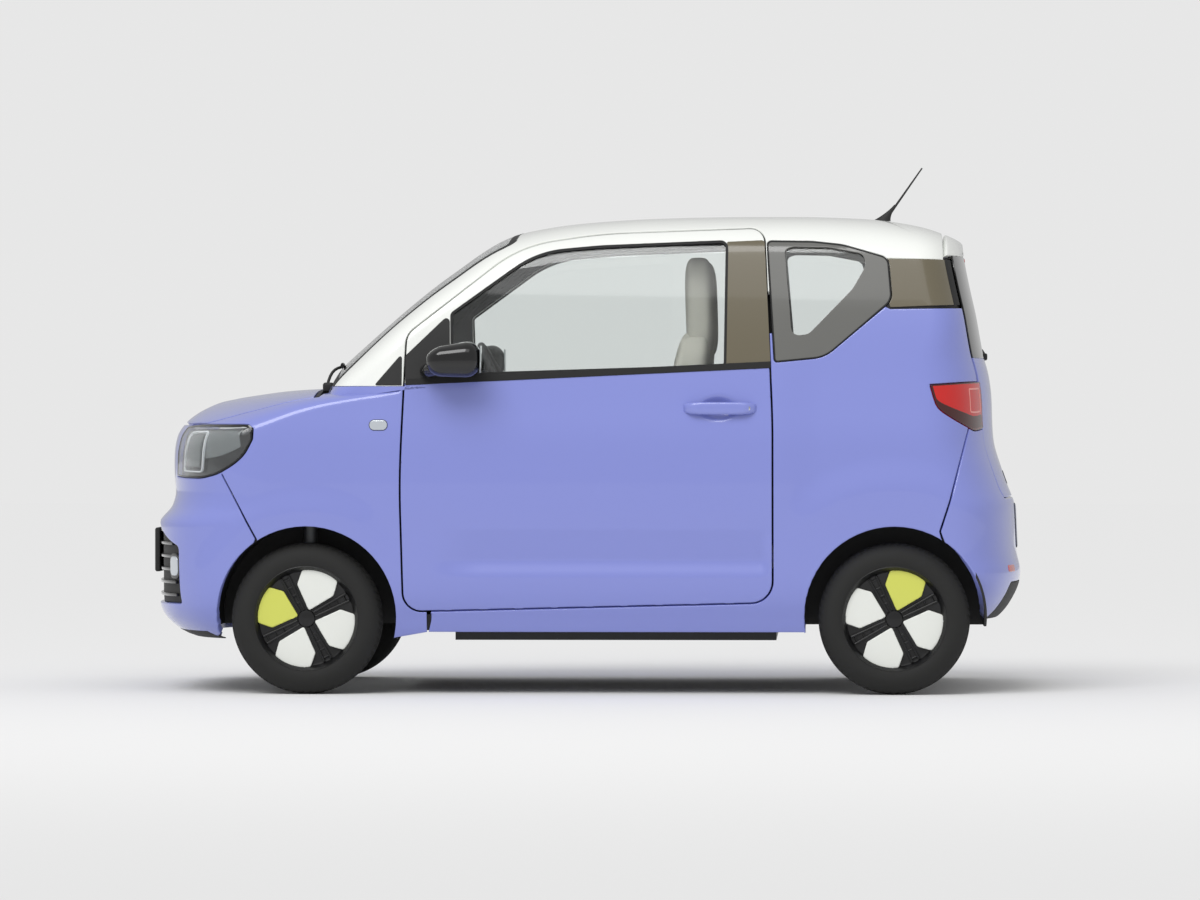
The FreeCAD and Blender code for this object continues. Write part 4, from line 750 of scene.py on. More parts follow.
def doorLift(flat):
    # The side less a hand recess behind the handle: depth times (1 - r^2) to a power, r being 1 on its oval rim
    dish = doorDetail["dish"]
    away = ((flat[:, 0] - dish["x"]) / dish["long"]) ** 2 + ((flat[:, 1] - dish["z"]) / dish["tall"]) ** 2
    deep = dish["deep"] * np.clip(1 - away, 0, 1) ** dish["power"]
    return sideLift(flat) - np.stack([0 * away, deep, 0 * away], axis=1)


onBothSides("doorSkin", "door_panel_{side}", "door_{side}", "body_paint", belowBelt, doorLift, "bodyPaint",
            depth=seams["doorWall"], inner="interiorPale", pitch=0.008)
sealRing = offsetLine(doorHole, -doorDetail["surroundOut"])
onBothSides("doorSurround", None, "root", "black_trim", sealRing, sideLift, "seal", depth=0.004,
            proud=-doorDetail["surround"], cutters=[offsetLine(doorOutline, doorDetail["surroundIn"])], edge=0.001,
            pitch=0.02, way=sideways)
onBothSides("doorFrame", "door_frame_{side}", "door_{side}", "roof_paint", aboveBelt, sideLift, "roofPaint",
            depth=seams["frameWall"], cutters=[offsetLine(windowOutline, -0.001)], inner="interior", way=sideways)
onBothSides("doorGlass", "door_glass_{side}", "door_{side}", "clear_glass", windowOutline, sideLift, "glass",
            depth=doorDetail["glassWall"], proud=-seams["glassRecess"], edge=0.0005, pitch=0.016, way=sideways)
onBothSides("windowSeal", None, "door_{side}", "black_trim", offsetLine(windowOutline, -doorDetail["sealWidth"]),
            sideLift, "seal", depth=0.006, proud=0.0012, edge=0.0008, cutters=[offsetLine(windowOutline, 0.003)])
filmOutline = roundedOutline([(-0.4775, 1.4955, 0.004), (-0.6015, 1.5010, 0.010), (-0.6225, 1.0845, 0.003),
                              (-0.4745, 1.0795, 0.003)])
onBothSides("pillarFilm", None, "door_{side}", "film", filmOutline, sideLift, "film", depth=doorDetail["filmWall"],
            proud=0.0008, edge=0.0006)
sailOutline = roundedOutline([(0.5825, 1.0290, 0.004), (0.5825, 1.1180, 0.012), (0.4375, 1.2580, 0.012),
                              (0.4340, 1.0345, 0.003)])
onBothSides("sailCover", None, "door_{side}", "black_trim", sailOutline, sideLift, "blackTrim",
            depth=doorDetail["filmWall"], proud=0.0014, edge=0.0008)
print("doors")


def beltZ(x):
    # Height of the straight belt line
    return beltFront[1] + (x - beltFront[0]) / (beltRear[0] - beltFront[0]) * (beltRear[1] - beltFront[1])


beltXs = np.array([0.5820, 0.40, 0.20, 0.0, -0.2, -0.4, -0.6220])
beltLow = np.stack([beltXs, beltZ(beltXs) - doorDetail["beltDrop"]], axis=1)
beltHigh = beltLow + (0, doorDetail["beltHeight"])
onBothSides("beltTrim", None, "door_{side}", "black_trim", np.concatenate([beltLow, beltHigh[::-1]]), sideLift,
            "seal", depth=0.004, proud=0.0022, edge=0.0010)

# Lamp outlines, shared with the panels round them
lampEnds = {"head": (0.900, (1.085, 0.724), (1.332, 0.405)), "tail": (-0.900, (-1.160, 0.728), (-1.352, 0.522))}
lampHeights = {
    "tailLow": [(0, 0.640), (0.06, 0.600), (0.2, 0.580), (0.45, 0.560), (0.7, 0.548), (1, 0.5525)],
    "tailHigh": [(0, 0.6425), (0.5, 0.647), (1, 0.649)],
    "headLow": [(0, 0.532), (0.06, 0.500), (0.18, 0.473), (0.32, 0.456), (0.5, 0.449), (1, 0.452)],
    "headHigh": [(0, 0.550), (0.06, 0.560), (0.5, 0.560), (1, 0.5555)]}
lampSteps = {"blur": 0.012, "places": 40}


def lampEdge(kind, low, grow, t):
    # Places on the form along a lamp's lower or upper edge; t runs from its outer end to its inner end
    centre, outer, inner = lampEnds[kind]
    first, last = (math.atan2(y, x - centre) for x, y in (outer, inner))
    spread = grow / form["half"] * (1 if last < first else -1)
    turn = first + spread + (last - first - 2 * spread) * t
    line = lineOf(lampHeights[kind + ("Low" if low else "High")], 1, form["height"], lampSteps["blur"])
    z = line(t) + (-grow if low else grow)
    start = np.stack([np.full(len(t), centre), 0 * t, z], axis=1)
    return cast(start, np.stack([np.cos(turn), np.sin(turn), 0 * t], axis=1), form["length"])


def lampRing(kind, grow=0.0, first=0.0, last=1.0, low=0.0, high=1.0):
    # The lamp's closed outline as places on the form; low and high are shares of its height
    t = np.linspace(first, last, lampSteps["places"])
    bottom, top = lampEdge(kind, True, grow, t), lampEdge(kind, False, grow, t)
    lower, upper = bottom + (top - bottom) * low, bottom + (top - bottom) * high
    return np.concatenate([lower, upper[::-1]])


def onTail(points):
    # Side places (x, z), or points, as places round the tail
    return tailPlace(points[:, 0], points[:, -1])


def onNose(points):
    # Side places (x, z), or points, as places round the nose
    return nosePlace(points[:, 0], points[:, -1])


def resampled(points, pitch=0.015):
    # An open line in steps no longer than pitch
    return evened(np.concatenate([points, points[-2:0:-1]]), pitch)[:int(sum(
        np.ceil(np.linalg.norm(np.diff(points, axis=0), axis=1) / pitch))) + 1]


rearSeam = np.array([(-0.4380, 0.5572), (-0.4158, 0.4050), (-0.4041, 0.3390)]) * (form["length"], form["height"])
frontSeam = np.array([(0.4072, 0.4553), (0.3678, 0.3226)]) * (form["length"], form["height"])
sillFront, sillBottom, sillTop, quarterTop = 0.509, 0.205, 0.30, 1.284
ground, far = 0.05, 1.6  # below and beyond everything that is cut
halfGap = seams["gap"] / 2
rearArch, frontArch = (archLine(form[axle], 0, 354, 60) for axle in ("rearAxle", "frontAxle"))
tailEdge = form["tailCorner"] * 0.2
quarterHole = offsetLine(quarterOutline, -0.0015)

# Rear quarters with the sills, wrapped round the tail corner
edgeZ = np.linspace(quarterTop, sillBottom, 40)
rearEdge = tailPlace(tailLine(edgeZ) + tailEdge, edgeZ)
sideBase = np.concatenate([rearEdge, onTail(np.array([
    (sillFront - halfGap, sillBottom), (sillFront - halfGap, sillTop), (0.4, sillTop), (-0.6, quarterTop)]))])
bumperPart = np.concatenate([onTail(resampled(rearSeam) + (halfGap, 0)), onTail(np.array([(-1.178, ground)])),
                             [(0, ground), (0, rearSeam[0, 1])]])
sideCutters = [onTail(evened(doorHole, 0.015)), onTail(rearArch), bumperPart, onTail(lampRing("tail", halfGap)),
               onTail(evened(quarterHole, 0.015)),
               onTail(np.array([(-1.50, quarterTop), (-1.016, 1.272), (-0.96, 1.30), (-0.80, 1.192), (-0.50, 1.192),
                                (-0.50, 1.50), (-1.50, 1.50)]))]
onBothSides("quarterPanel", "side_{side}", "root", "body_paint", sideBase, tailLift, "bodyPaint",
            depth=seams["sideWall"], cutters=sideCutters, inner="interiorPale")
print("rear quarters")

# Rear bumper, valance, tailgate
bumper = {"frontLow": 0.179, "frontHigh": 0.888, "rearLow": 0.244, "rearHigh": 0.880, "reach": 0.9}


def bothWays(outline):
    # A left-side outline and its mirror image
    return [outline, outline * (-1, 1)]


gate = {"low": 0.650, "lowHalf": 0.500, "step": 1.036, "stepHigh": 1.076, "glassLow": 1.112, "spoilerLow": 1.452,
        "wall": 0.032, "beyond": 1.493, "cornerHalf": 0.66, "glassWall": 0.006, "glassPlay": 0.0006, "below": 0.04}
gateCorners = [(-gate["lowHalf"], gate["low"], 0.04), (gate["lowHalf"], gate["low"], 0.04),
               (gate["lowHalf"], gate["step"], 0.03), (gate["beyond"], gate["stepHigh"], 0.005),
               (gate["beyond"], gate["glassLow"], 0.005), (-gate["beyond"], gate["glassLow"], 0.005),
               (-gate["beyond"], gate["stepHigh"], 0.005), (-gate["lowHalf"], gate["step"], 0.03)]


def gatePlace(points):
    # Places (y, z) seen from behind as places round the tail
    return tailAcross(points[:, 0], points[:, 1])


rearFar = onTail(np.array([(-bumper["reach"], bumper["rearLow"]), (-bumper["reach"], bumper["rearHigh"])]))
rearBase = np.concatenate([rearFar, rearFar[::-1] * (-1, 1)])
seamLine = resampled(rearSeam) - (halfGap, 0)
aheadOfSeam = onTail(np.concatenate([seamLine, [(-1.184, ground), (-0.4, ground), (-0.4, 1.2), (-1.283, 1.2)]]))
gateGap = evened(offsetLine(roundedOutline(gateCorners), -seams["gap"]), 0.02)
valanceCorners = roundedOutline([(-0.560, 0, 0.005), (0.560, 0, 0.005), (0.500, 0.366, 0.03), (-0.500, 0.366, 0.03)])
valance = gatePlace(evened(valanceCorners, 0.02))
rearCutters = bothWays(onTail(rearArch)) + bothWays(aheadOfSeam) + bothWays(onTail(lampRing("tail", halfGap)))
placed(panel("rearBumper", rearBase, tailLift, "bodyPaint", depth=seams["bumperWall"],
             cutters=rearCutters + [gatePlace(gateGap), offsetLine(valance, -0.0015)]),
       "root", "body_paint", "rear_bumper")
valanceBase = np.stack([valance[:, 0], np.maximum(valance[:, 1], bumper["rearLow"])], axis=1)
placed(panel("rearValance", valanceBase, tailLift, "blackTrim", depth=seams["bumperWall"],
             cutters=bothWays(onTail(rearArch))), "root", "black_trim", "rear_valance")
gateZ = np.linspace(gate["low"] - gate["below"], gate["glassLow"], 30)
gateEdge = tailPlace(tailLine(gateZ) + tailEdge - seams["gap"], gateZ)
gateBase = np.concatenate([gateEdge, gateEdge[::-1] * (-1, 1)])
besideGate = np.array([
    (0.9, 0.5), (0.9, 1.076), (0.62, 1.0392), (0.515, 1.0365), (0.505, 1.033), (0.501, 1.026), (0.500, 1.015),
    (0.500, 0.69), (0.496, 0.672), (0.487, 0.658), (0.474, 0.6515), (0.460, 0.650), (0, 0.650), (0, 0.5)])
outsideGate = tailAcross(np.minimum(besideGate[:, 0], gate["cornerHalf"]), besideGate[:, 1])
outsideGate[:2, 0] = besideGate[:2, 0]
placed(panel("tailgateSkin", gateBase, tailLift, "bodyPaint", depth=gate["wall"], cutters=bothWays(outsideGate),
             inner="interiorPale"), "tailgate", "body_paint", "tailgate_panel")
glassZ = np.linspace(gate["glassLow"] + gate["glassPlay"], gate["spoilerLow"] - gate["glassPlay"], 30)
glassEdge = tailPlace(tailLine(glassZ) + tailEdge - seams["gap"], glassZ)
placed(panel("tailgateGlass", np.concatenate([glassEdge, glassEdge[::-1] * (-1, 1)]), tailLift, "darkGlass",
             depth=gate["glassWall"], edge=0.0015), "tailgate", "tinted_glass", "tailgate_glass")
print("tail")

# Front bumper, bonnet, fenders
grilleCorners = [(-0.606, 0.294, 0.012), (0.606, 0.294, 0.012), (0.606, 0.486, 0.020), (0.330, 0.566, 0.060),
                 (-0.330, 0.566, 0.060), (-0.606, 0.486, 0.020)]
grilleLine = evened(roundedOutline(grilleCorners), 0.015)


def noseAcross(points):
    # Places (y, z) seen from ahead as places round the nose
    x = noseLine(points[:, 1]) - 0.02
    return nosePlace(x, points[:, 1], points[:, 0])


frontFar = onNose(np.array([(bumper["reach"], bumper["frontLow"]), (bumper["reach"], bumper["frontHigh"])]))
frontBase = np.concatenate([frontFar, frontFar[::-1] * (-1, 1)])
seamAhead = frontSeam + (halfGap, 0)
inLamp = onNose(np.array([(1.12, 0.86)]))
behindSeam = np.concatenate([onNose(resampled(seamAhead[::-1])), inLamp, [(inLamp[0, 0], 1.1), (far, 1.1)],
                             [(far, ground)], onNose(np.array([(1.02, ground)]))])
frontCutters = bothWays(onNose(frontArch)) + bothWays(behindSeam) + bothWays(onNose(lampRing("head", halfGap)))
placed(panel("frontBumper", frontBase, noseLift, "bodyPaint", depth=seams["bumperWall"],
             cutters=frontCutters + [noseAcross(grilleLine)]), "root", "body_paint", "front_bumper")
bonnet = {"rear": 0.890, "frontZ": 0.896, "sideFront": 1.36, "half": 0.60, "from": 0.60, "castFrom": 0.9,
          "castReach": 0.55}
bonnetEdge = lineOf([(0.3048, 0.8700), (0.3500, 0.8450), (0.4000, 0.8050), (0.4300, 0.7350), (0.4500, 0.6000)],
                    form["length"], form["half"], 0.012)
acrossY = np.linspace(0, bonnet["half"], 40)
start = np.stack([0 * acrossY + bonnet["castFrom"], acrossY, 0 * acrossY + bonnet["frontZ"]], axis=1)
frontX = cast(start, np.tile([1.0, 0, 0], (len(start), 1)), bonnet["castReach"], lowerWidth)[:, 0]
sideX = np.linspace(bonnet["rear"], bonnet["sideFront"], 60)
sideY = bonnetEdge(sideX) - halfGap
sideLimit = np.stack([sideX, sideY], axis=1)[np.interp(sideY, acrossY, frontX) > sideX]
frontLimit = np.stack([frontX, acrossY], axis=1)[acrossY < sideLimit[-1, 1]]
leftBonnet = np.concatenate([sideLimit, frontLimit[::-1]])
bonnetBase = np.concatenate([leftBonnet, leftBonnet[::-1][1:] * (1, -1)])
underForm = topLift(lowerWidth, bonnet["from"])
placed(panel("bonnetSkin", bonnetBase, underForm, "bodyPaint", depth=seams["lidWall"], inner="steel"),
       "bonnet", "body_paint", "bonnet")
fender = {"scale": (1, 0.45), "front": 1.300, "strip": 0.866, "stripY": 0.590}
fenderCentre = (0.4 * form["half"], 0.4 * form["height"])


def onFender(points):
    # Side places (x, z) as (x, turn)
    y = lowerWidth(points[:, 0], points[:, 1])
    return turnPlace(np.stack([points[:, 0], y, points[:, 1]], axis=1), fenderCentre, 0)


topX = np.linspace(sillFront + halfGap, fender["front"], 60)
topY = np.where(topX < fender["strip"], fender["stripY"], bonnetEdge(topX) + halfGap)
fenderTop = turnPlace(underForm(np.stack([topX, topY], axis=1)), fenderCentre, 0)
fenderFoot = onFender(np.array([(fender["front"], sillBottom), (sillFront + halfGap, sillBottom)]))
aheadSeam = np.concatenate([[(1.035, 0.30)], resampled(frontSeam[::-1]), [(1.25, 0.80), (1.40, 0.80), (1.40, 0.30)]])
fenderCutters = [onFender(evened(doorHole, 0.015)), onFender(frontArch), onFender(aheadSeam - (halfGap, 0)),
                 turnPlace(lampRing("head", halfGap), fenderCentre, 0)]
onBothSides("fender", ["fenders"], "root", "body_paint", np.concatenate([fenderTop, fenderFoot]),
            turnLift(lowerWidth, fenderCentre, 0), "bodyPaint", depth=seams["fenderWall"], cutters=fenderCutters,
            scale=fender["scale"], edge=0.0018, pitch=0.007)
print("front")


# Roof with its pillars, windscreen and spoiler, as arcs over the car
cabin = {"centre": 0.9460, "wide": 0.9 * form["half"], "rear": -1.192, "front": 0.858, "base": 1.0175,
         "spoilerFront": -1.2045, "spoilerRear": -1.2702, "spoilerCentre": 1.372, "border": 0.026,
         "borderFoot": 0.045, "spoilerWall": 0.024, "glassWall": 0.005, "scale": (1, 0.65), "spoilerScale": (1, 0.5)}
overCar = turnLift(cabinWidth, (0, cabin["centre"]), cabin["wide"])
roofWay = fromLine(cabin["centre"])


def onRoof(points, pitch=0.02):
    # Side places (x, z) as (x, turn) over the roof
    points = evened(np.asarray(points, float), pitch)
    y = cabinWidth(points[:, 0], np.maximum(points[:, 1], 0.95))
    return turnPlace(np.stack([points[:, 0], y, points[:, 1]], axis=1), (0, cabin["centre"]), cabin["wide"])


def acrossRoof(outline):
    # An outline on the left side of the roof and its mirror image
    return [outline, np.stack([outline[:, 0], math.pi - outline[:, 1]], axis=1)]


def screenPlace(grow):
    # The windscreen's plan outline carried up on to the form
    plan = roundedOutline([(0.910, -0.600, 0.03), (0.910, 0.600, 0.03), (0.228, 0.508, 0.06), (0.206, 0, 0.9),
                           (0.228, -0.508, 0.06)])
    plan = evened(offsetLine(plan, grow), 0.02)
    at = np.stack([np.minimum(plan[:, 0], cabin["front"]), plan[:, 1]], axis=1)
    held = topLift(cabinWidth, cabin["centre"])(at)
    flat = turnPlace(held, (0, cabin["centre"]), cabin["wide"])
    flat[:, 0] = plan[:, 0]
    return flat


baseSide = resampled(np.array([(cabin["front"], cabin["base"]), (0.50, cabin["base"]), (0.0, 1.25), (-0.3, 1.30),
                               (-0.80, 1.35), (cabin["rear"], 1.36)]))
baseFlat = turnPlace(np.stack([baseSide[:, 0], cabinWidth(baseSide[:, 0], baseSide[:, 1]), baseSide[:, 1]], axis=1),
                     (0, cabin["centre"]), cabin["wide"])
baseLeft, baseRight = acrossRoof(baseFlat)
roofBase = np.concatenate([baseLeft, baseRight[::-1]])
trimOutline = roundedOutline(trimCorners)
roofCutters = [screenPlace(0)]
for outline in (doorHole, quarterHole, offsetLine(trimOutline, -0.0008)):
    roofCutters += acrossRoof(onRoof(outline))
placed(panel("roofShell", roofBase, overCar, "roofPaint", depth=seams["roofWall"], cutters=roofCutters,
             scale=cabin["scale"], pitch=0.012, edge=0.002, inner="interiorPale", way=roofWay),
       "root", "roof_paint", "upper_frame")
screenBase = clipLine(screenPlace(0.0010), (cabin["front"] - 0.0005, 0), (-1, 0))
placed(panel("windscreen", screenBase, overCar, "glass", depth=cabin["glassWall"], scale=cabin["scale"], pitch=0.014,
             edge=0.0008, way=roofWay), "root", "clear_glass", "windscreen")
screenClear = clipLine(screenPlace(cabin["border"]), (cabin["front"] - cabin["borderFoot"], 0), (-1, 0))
placed(panel("windscreenBorder", offsetLine(screenBase, 0.0015), overCar, "seal", depth=0.0012, proud=0.0006,
             cutters=[screenClear], scale=cabin["scale"], pitch=0.014, edge=0.0004, way=roofWay), "root", "black_trim")
spoilerXs = np.linspace(cabin["spoilerFront"], cabin["spoilerRear"], 12)
spoilerZs = 0 * spoilerXs + gate["spoilerLow"]
spoilerLow = turnPlace(np.stack([spoilerXs, cabinWidth(spoilerXs, spoilerZs), spoilerZs], axis=1),
                       (0, cabin["spoilerCentre"]), cabin["wide"])
spoilerLeft, spoilerRight = acrossRoof(spoilerLow)
placed(panel("spoilerShell", np.concatenate([spoilerLeft, spoilerRight[::-1]]),
             turnLift(cabinWidth, (0, cabin["spoilerCentre"]), cabin["wide"]), "roofPaint", depth=cabin["spoilerWall"],
             scale=cabin["spoilerScale"], pitch=0.012, edge=0.004), "tailgate", "roof_paint", "spoiler")
print("roof")

# Quarter windows and the corner film behind them, then the strips that close the joints
trims = {"wall": 0.024, "end": (-1.2305, 1.36), "black": (-1.2110, 1.36), "overlap": 0.003, "seatNear": 0.036,
         "seatFar": 0.066, "sealSet": 0.0045}
clearCorners = shares([
    (-0.2288, 0.9252, 0.0110), (-0.2390, 0.9310, 0.0160), (-0.2790, 0.9295, 0.0300), (-0.3185, 0.9150, 0.0130),
    (-0.3205, 0.8900, 0.0130), (-0.3060, 0.8430, 0.0300), (-0.2560, 0.7480, 0.0130), (-0.2370, 0.7440, 0.0100)])
clearOutline = roundedOutline(clearCorners)
quarterFlat = onTail(evened(quarterOutline, 0.015))
clearFlat = onTail(evened(clearOutline, 0.012))
for name, node, outline, material, slot, cutters, depth, proud in (
        ("quarterBorder", "quarter_glass", quarterFlat, "frit", "tinted_glass", [clearFlat], 0.007, -0.001),
        ("quarterPane", None, offsetLine(clearFlat, -0.004), "glass", "clear_glass", [], 0.003, -0.0085),
        ("quarterSeal", None, quarterFlat, "seal", "black_trim", [offsetLine(quarterFlat, trims["sealSet"])], 0.004,
         0.0006)):
    onBothSides(name, node, "root", slot, outline, tailLift, material, depth=depth, proud=proud, edge=0.0008,
                cutters=cutters)
trimFlat = onTail(evened(trimOutline, 0.015))
trimEnd = clipLine(trimFlat, onTail(np.array([trims["end"]]))[0], (1, 0))
onBothSides("cornerTrim", "corner_trims", "root", "film", trimEnd, tailLift, "film", depth=trims["wall"],
            edge=0.0010, cutters=[onTail(evened(offsetLine(quarterOutline, -trims["overlap"]), 0.015))])
trimBlack = clipLine(trimEnd, onTail(np.array([trims["black"]]))[0], (-1, 0))
onBothSides("cornerTrimEnd", None, "root", "black_trim", trimBlack, tailLift, "seal", depth=0.0030,
            proud=0.0008, edge=0.0005)
trimSeat = np.array([(-0.995, 1.268), (-1.234, 1.276), (-1.234, 1.300), (-0.995, 1.294)])
onBothSides("trimSeat", None, "root", "black_trim", onTail(evened(trimSeat, 0.015)), tailLift, "seal", depth=0.010,
            proud=-0.0045, edge=0.001)
# A black strip sunk behind the fender-sill gap, though the part there is body-coloured: painted shade that darkens the
# gap
onBothSides("sillGapPaintedShade", None, "root", "body_paint", evened(rectangle(0.494, 0.524, 0.209, 0.262), 0.01), sideLift,
            "seal", depth=0.006, proud=-0.0055, edge=0.001)
seatZ = np.linspace(1.118, 1.446, 14)
glassSeat = np.concatenate([tailPlace(tailLine(seatZ) + trims["seatNear"], seatZ),
                            tailPlace(tailLine(seatZ) + trims["seatFar"], seatZ)[::-1]])
onBothSides("glassSurround", None, "root", "black_trim", glassSeat, tailLift, "seal", depth=0.004, proud=-0.0135,
            edge=0.001)
sailPillar = onRoof(roundedOutline([(0.5935, 1.0195, 0.002), (0.686, 1.0195, 0.004), (0.5935, 1.126, 0.006)]), 0.01)
onBothSides("pillarSail", None, "root", "black_trim", sailPillar, overCar, "blackTrim", depth=0.003, proud=0.0010,
            edge=0.0006, scale=cabin["scale"])
pillarFoot = onRoof([(0.515, 1.0165), (0.515, 1.0100), (0.600, 1.0040), (0.700, 0.9890), (0.800, 0.9840),
                     (0.850, 0.9860), (0.850, 1.0165)], 0.01)
onBothSides("pillarFoot", None, "root", "body_paint", pillarFoot, overCar, "bodyPaint", depth=0.004, edge=0.0008,
            scale=cabin["scale"])
doorGapSeal = clipLine(clipLine(offsetLine(doorOutline, -0.0052), (0, 1.03), (0, 1)), (0.50, 0), (-1, 0))
onBothSides("doorGapSeal", None, "root", "black_trim", doorGapSeal, sideLift, "seal", depth=0.006, proud=-0.014,
            cutters=[offsetLine(doorOutline, -0.0012)], edge=0.0006, pitch=0.012, way=sideways)
print("quarter windows")

# Lamps
lamps = {"lensDepth": 0.0030, "housing": 0.016, "housingDepth": 0.050, "tailWall": 0.034, "rim": 0.0050,
         "tailRim": 0.0042, "ring": 0.0050, "tailRing": 0.0055, "projector": 0.018}


def lampRegion(kind, place, first, last, low, high):
    # The share of a lamp's outline between these shares of its length and height
    return evened(place(lampRing(kind, 0.0, first, last, low, high)), 0.008)


headWhole, tailWhole = (evened(place(lampRing(kind)), 0.010) for place, kind in ((onNose, "head"), (onTail, "tail")))
headReflector = lampRegion("head", onNose, 0.10, 0.98, 0.36, 0.97)
headRing = roundedLoop(lampRegion("head", onNose, 0.47, 0.82, 0.10, 0.90), 0.034)
tailFoot = lampRegion("tail", onTail, 0.05, 0.97, 0.03, 0.30)
tailRing = roundedLoop(lampRegion("tail", onTail, 0.60, 0.93, 0.36, 0.88), 0.016)
onBothSides("headlampLens", ["headlamps"], "root", "lamp_clear", headWhole, noseLift, "lampClear",
            depth=lamps["lensDepth"], edge=0.0012, pitch=0.012)
onBothSides("headlampHousing", None, "root", "black_gloss", headWhole, noseLift, "lampSmoke",
            depth=lamps["housingDepth"], proud=-lamps["housing"], pitch=0.014)
onBothSides("headlampReflector", None, "root", "black_gloss", headReflector, noseLift, "lampGrey", depth=0.004,
            proud=-lamps["housing"] + 0.0045, pitch=0.014)
onBothSides("headlampRing", None, "root", "lamp_clear", headRing, noseLift, "lampLight", depth=0.008, proud=-0.0035,
            cutters=[offsetLine(headRing, lamps["ring"])], pitch=0.008, edge=0.0012)
onBothSides("headlampProjector", None, "root", "lamp_clear", offsetLine(headRing, lamps["projector"]), noseLift,
            "lampGrey", depth=0.006, proud=-0.0048, pitch=0.010, edge=0.002)
for name, slot, whole, lift, material, rim in (
        ("headlampRim", "black_gloss", headWhole, noseLift, "blackGloss", lamps["rim"]),
        ("tailLampRim", "lamp_red", tailWhole, tailLift, "lampDark", lamps["tailRim"])):
    onBothSides(name, None, "root", slot, whole, lift, material, depth=0.004, proud=0.0005, edge=0.0005,
                cutters=[offsetLine(roundedLoop(whole, 0.012, 3), rim)], pitch=0.012)
onBothSides("tailLens", ["tail_lamps"], "root", "lamp_red", tailWhole, tailLift, "lampRed", depth=lamps["tailWall"],
            edge=0.0022, inner="interior", pitch=0.010)
onBothSides("tailLampFoot", None, "root", "lamp_red", tailFoot, tailLift, "lampDark", depth=0.0022, proud=0.0006,
            edge=0.0006)
onBothSides("tailLampLight", None, "root", "lamp_red", tailRing, tailLift, "tailGlow", depth=0.0026, proud=0.0010,
            cutters=[offsetLine(tailRing, lamps["tailRing"])], pitch=0.006, edge=0.0008)
print("lamps")

# Grille with its slats, fog lamps and the blank plate
grilleFlat = noseAcross(grilleLine)
placed(panel("grillePlate", grilleFlat, noseLift, "blackTrim", depth=0.020, proud=-0.014, pitch=0.02),
       "root", "black_trim", "front_grille")
grille = {"slats": 6, "low": 0.318, "high": 0.532, "slatHigh": 0.010, "half": 0.575, "bend": 0.480, "taper": 2.6}
for i in range(grille["slats"]):
    z = grille["low"] + (grille["high"] - grille["low"]) * i / (grille["slats"] - 1)
    top, wide = z + grille["slatHigh"], grille["half"] - max(z - grille["bend"], 0) * grille["taper"]
    strip = noseAcross(evened(rectangle(-wide, wide, z, top), 0.012))
    placed(panel("grilleSlat%d" % (i + 1), strip, noseLift, "blackGloss", depth=0.011, proud=-0.0045,
                 pitch=0.012, edge=0.002), "root", "black_trim")
fogFlat = noseAcross(rectangle(0.545, 0.597, 0.388, 0.452, 0.016))
onBothSides("fogLampBezel", None, "root", "black_gloss", offsetLine(fogFlat, -0.010), noseLift, "blackGloss",
            depth=0.014, proud=-0.0020, edge=0.0020)
onBothSides("fogLamp", None, "root", "lamp_clear", fogFlat, noseLift, "lampLens", depth=0.006, proud=0.0006,
            edge=0.0020)
lip = noseAcross(evened(rectangle(-0.60, 0.60, 0.181, 0.205), 0.015))
placed(panel("bumperLip", lip, noseLift, "blackTrim", depth=0.004, proud=0.0006, edge=0.001), "root", "black_trim")
placed(roundedBlock("plateHolder", (1.4420, -0.224, 0.393), (1.4585, 0.224, 0.541), 0.004, "blackTrim"),
       "root", "black_trim")
placed(roundedBlock("numberPlate", (1.4570, -0.220, 0.397), (1.4600, 0.220, 0.537), 0.0012, "plate"),
       "root", "black_trim")

# Bonnet's rear strip and the wipers
cowlFlat = rectangle(0.8705, 0.8835, -0.646, 0.646)
placed(panel("cowlStrip", evened(cowlFlat, 0.01), underForm, "blackTrim", depth=0.040, pitch=0.01,
             edge=0.0010), "root", "black_trim", "cowl")


def onScreen(x, y, off):
    # A place this far off the windscreen, along the way that points out of the glass
    spot = topLift(cabinWidth, cabin["centre"])(np.array([(min(x, cabin["front"]), y)]))[0]
    return spot + np.array(wiper["out"]) * off


def overScreen(first, last, offs):
    # Even steps from first to last over the glass, each its own distance off it
    return [onScreen(*(np.array(first) * (1 - s) + np.array(last) * s), off)
            for s, off in zip(np.linspace(0, 1, len(offs)), offs)]


wiper = {"armRadius": 0.0050, "bladeRadius": 0.0065, "armOff": 0.014, "armBow": 0.010, "bladeOff": 0.009, "steps": 7,
         "out": (0.55, 0, 0.83), "pivotOff": 0.004}
armOffs = wiper["armOff"] + wiper["armBow"] * np.sin(np.linspace(0, math.pi, wiper["steps"]))
for number, pivot, rest, ends in (
        ("1", (0.853, 0.455), (0.828, 0.150), ((0.806, 0.430), (0.838, -0.110))),
        ("2", (0.857, -0.120), (0.824, -0.330), ((0.838, -0.130), (0.806, -0.540)))):
    arm, blade = overScreen(pivot, rest, armOffs), overScreen(*ends, [wiper["bladeOff"]] * wiper["steps"])
    placed(tube("wiperArm" + number, arm, wiper["armRadius"], "blackTrim"), "root", "black_trim")
    placed(tube("wiperBlade" + number, blade, wiper["bladeRadius"], "seal"), "root", "black_trim")
    foot = onScreen(*pivot, wiper["pivotOff"])
    placed(roundedBlock("wiperPivot" + number, foot - (0.018, 0.022, 0.010), foot + (0.018, 0.022, 0.024), 0.009,
                        "blackTrim"), "root", "black_trim")
print("front details")

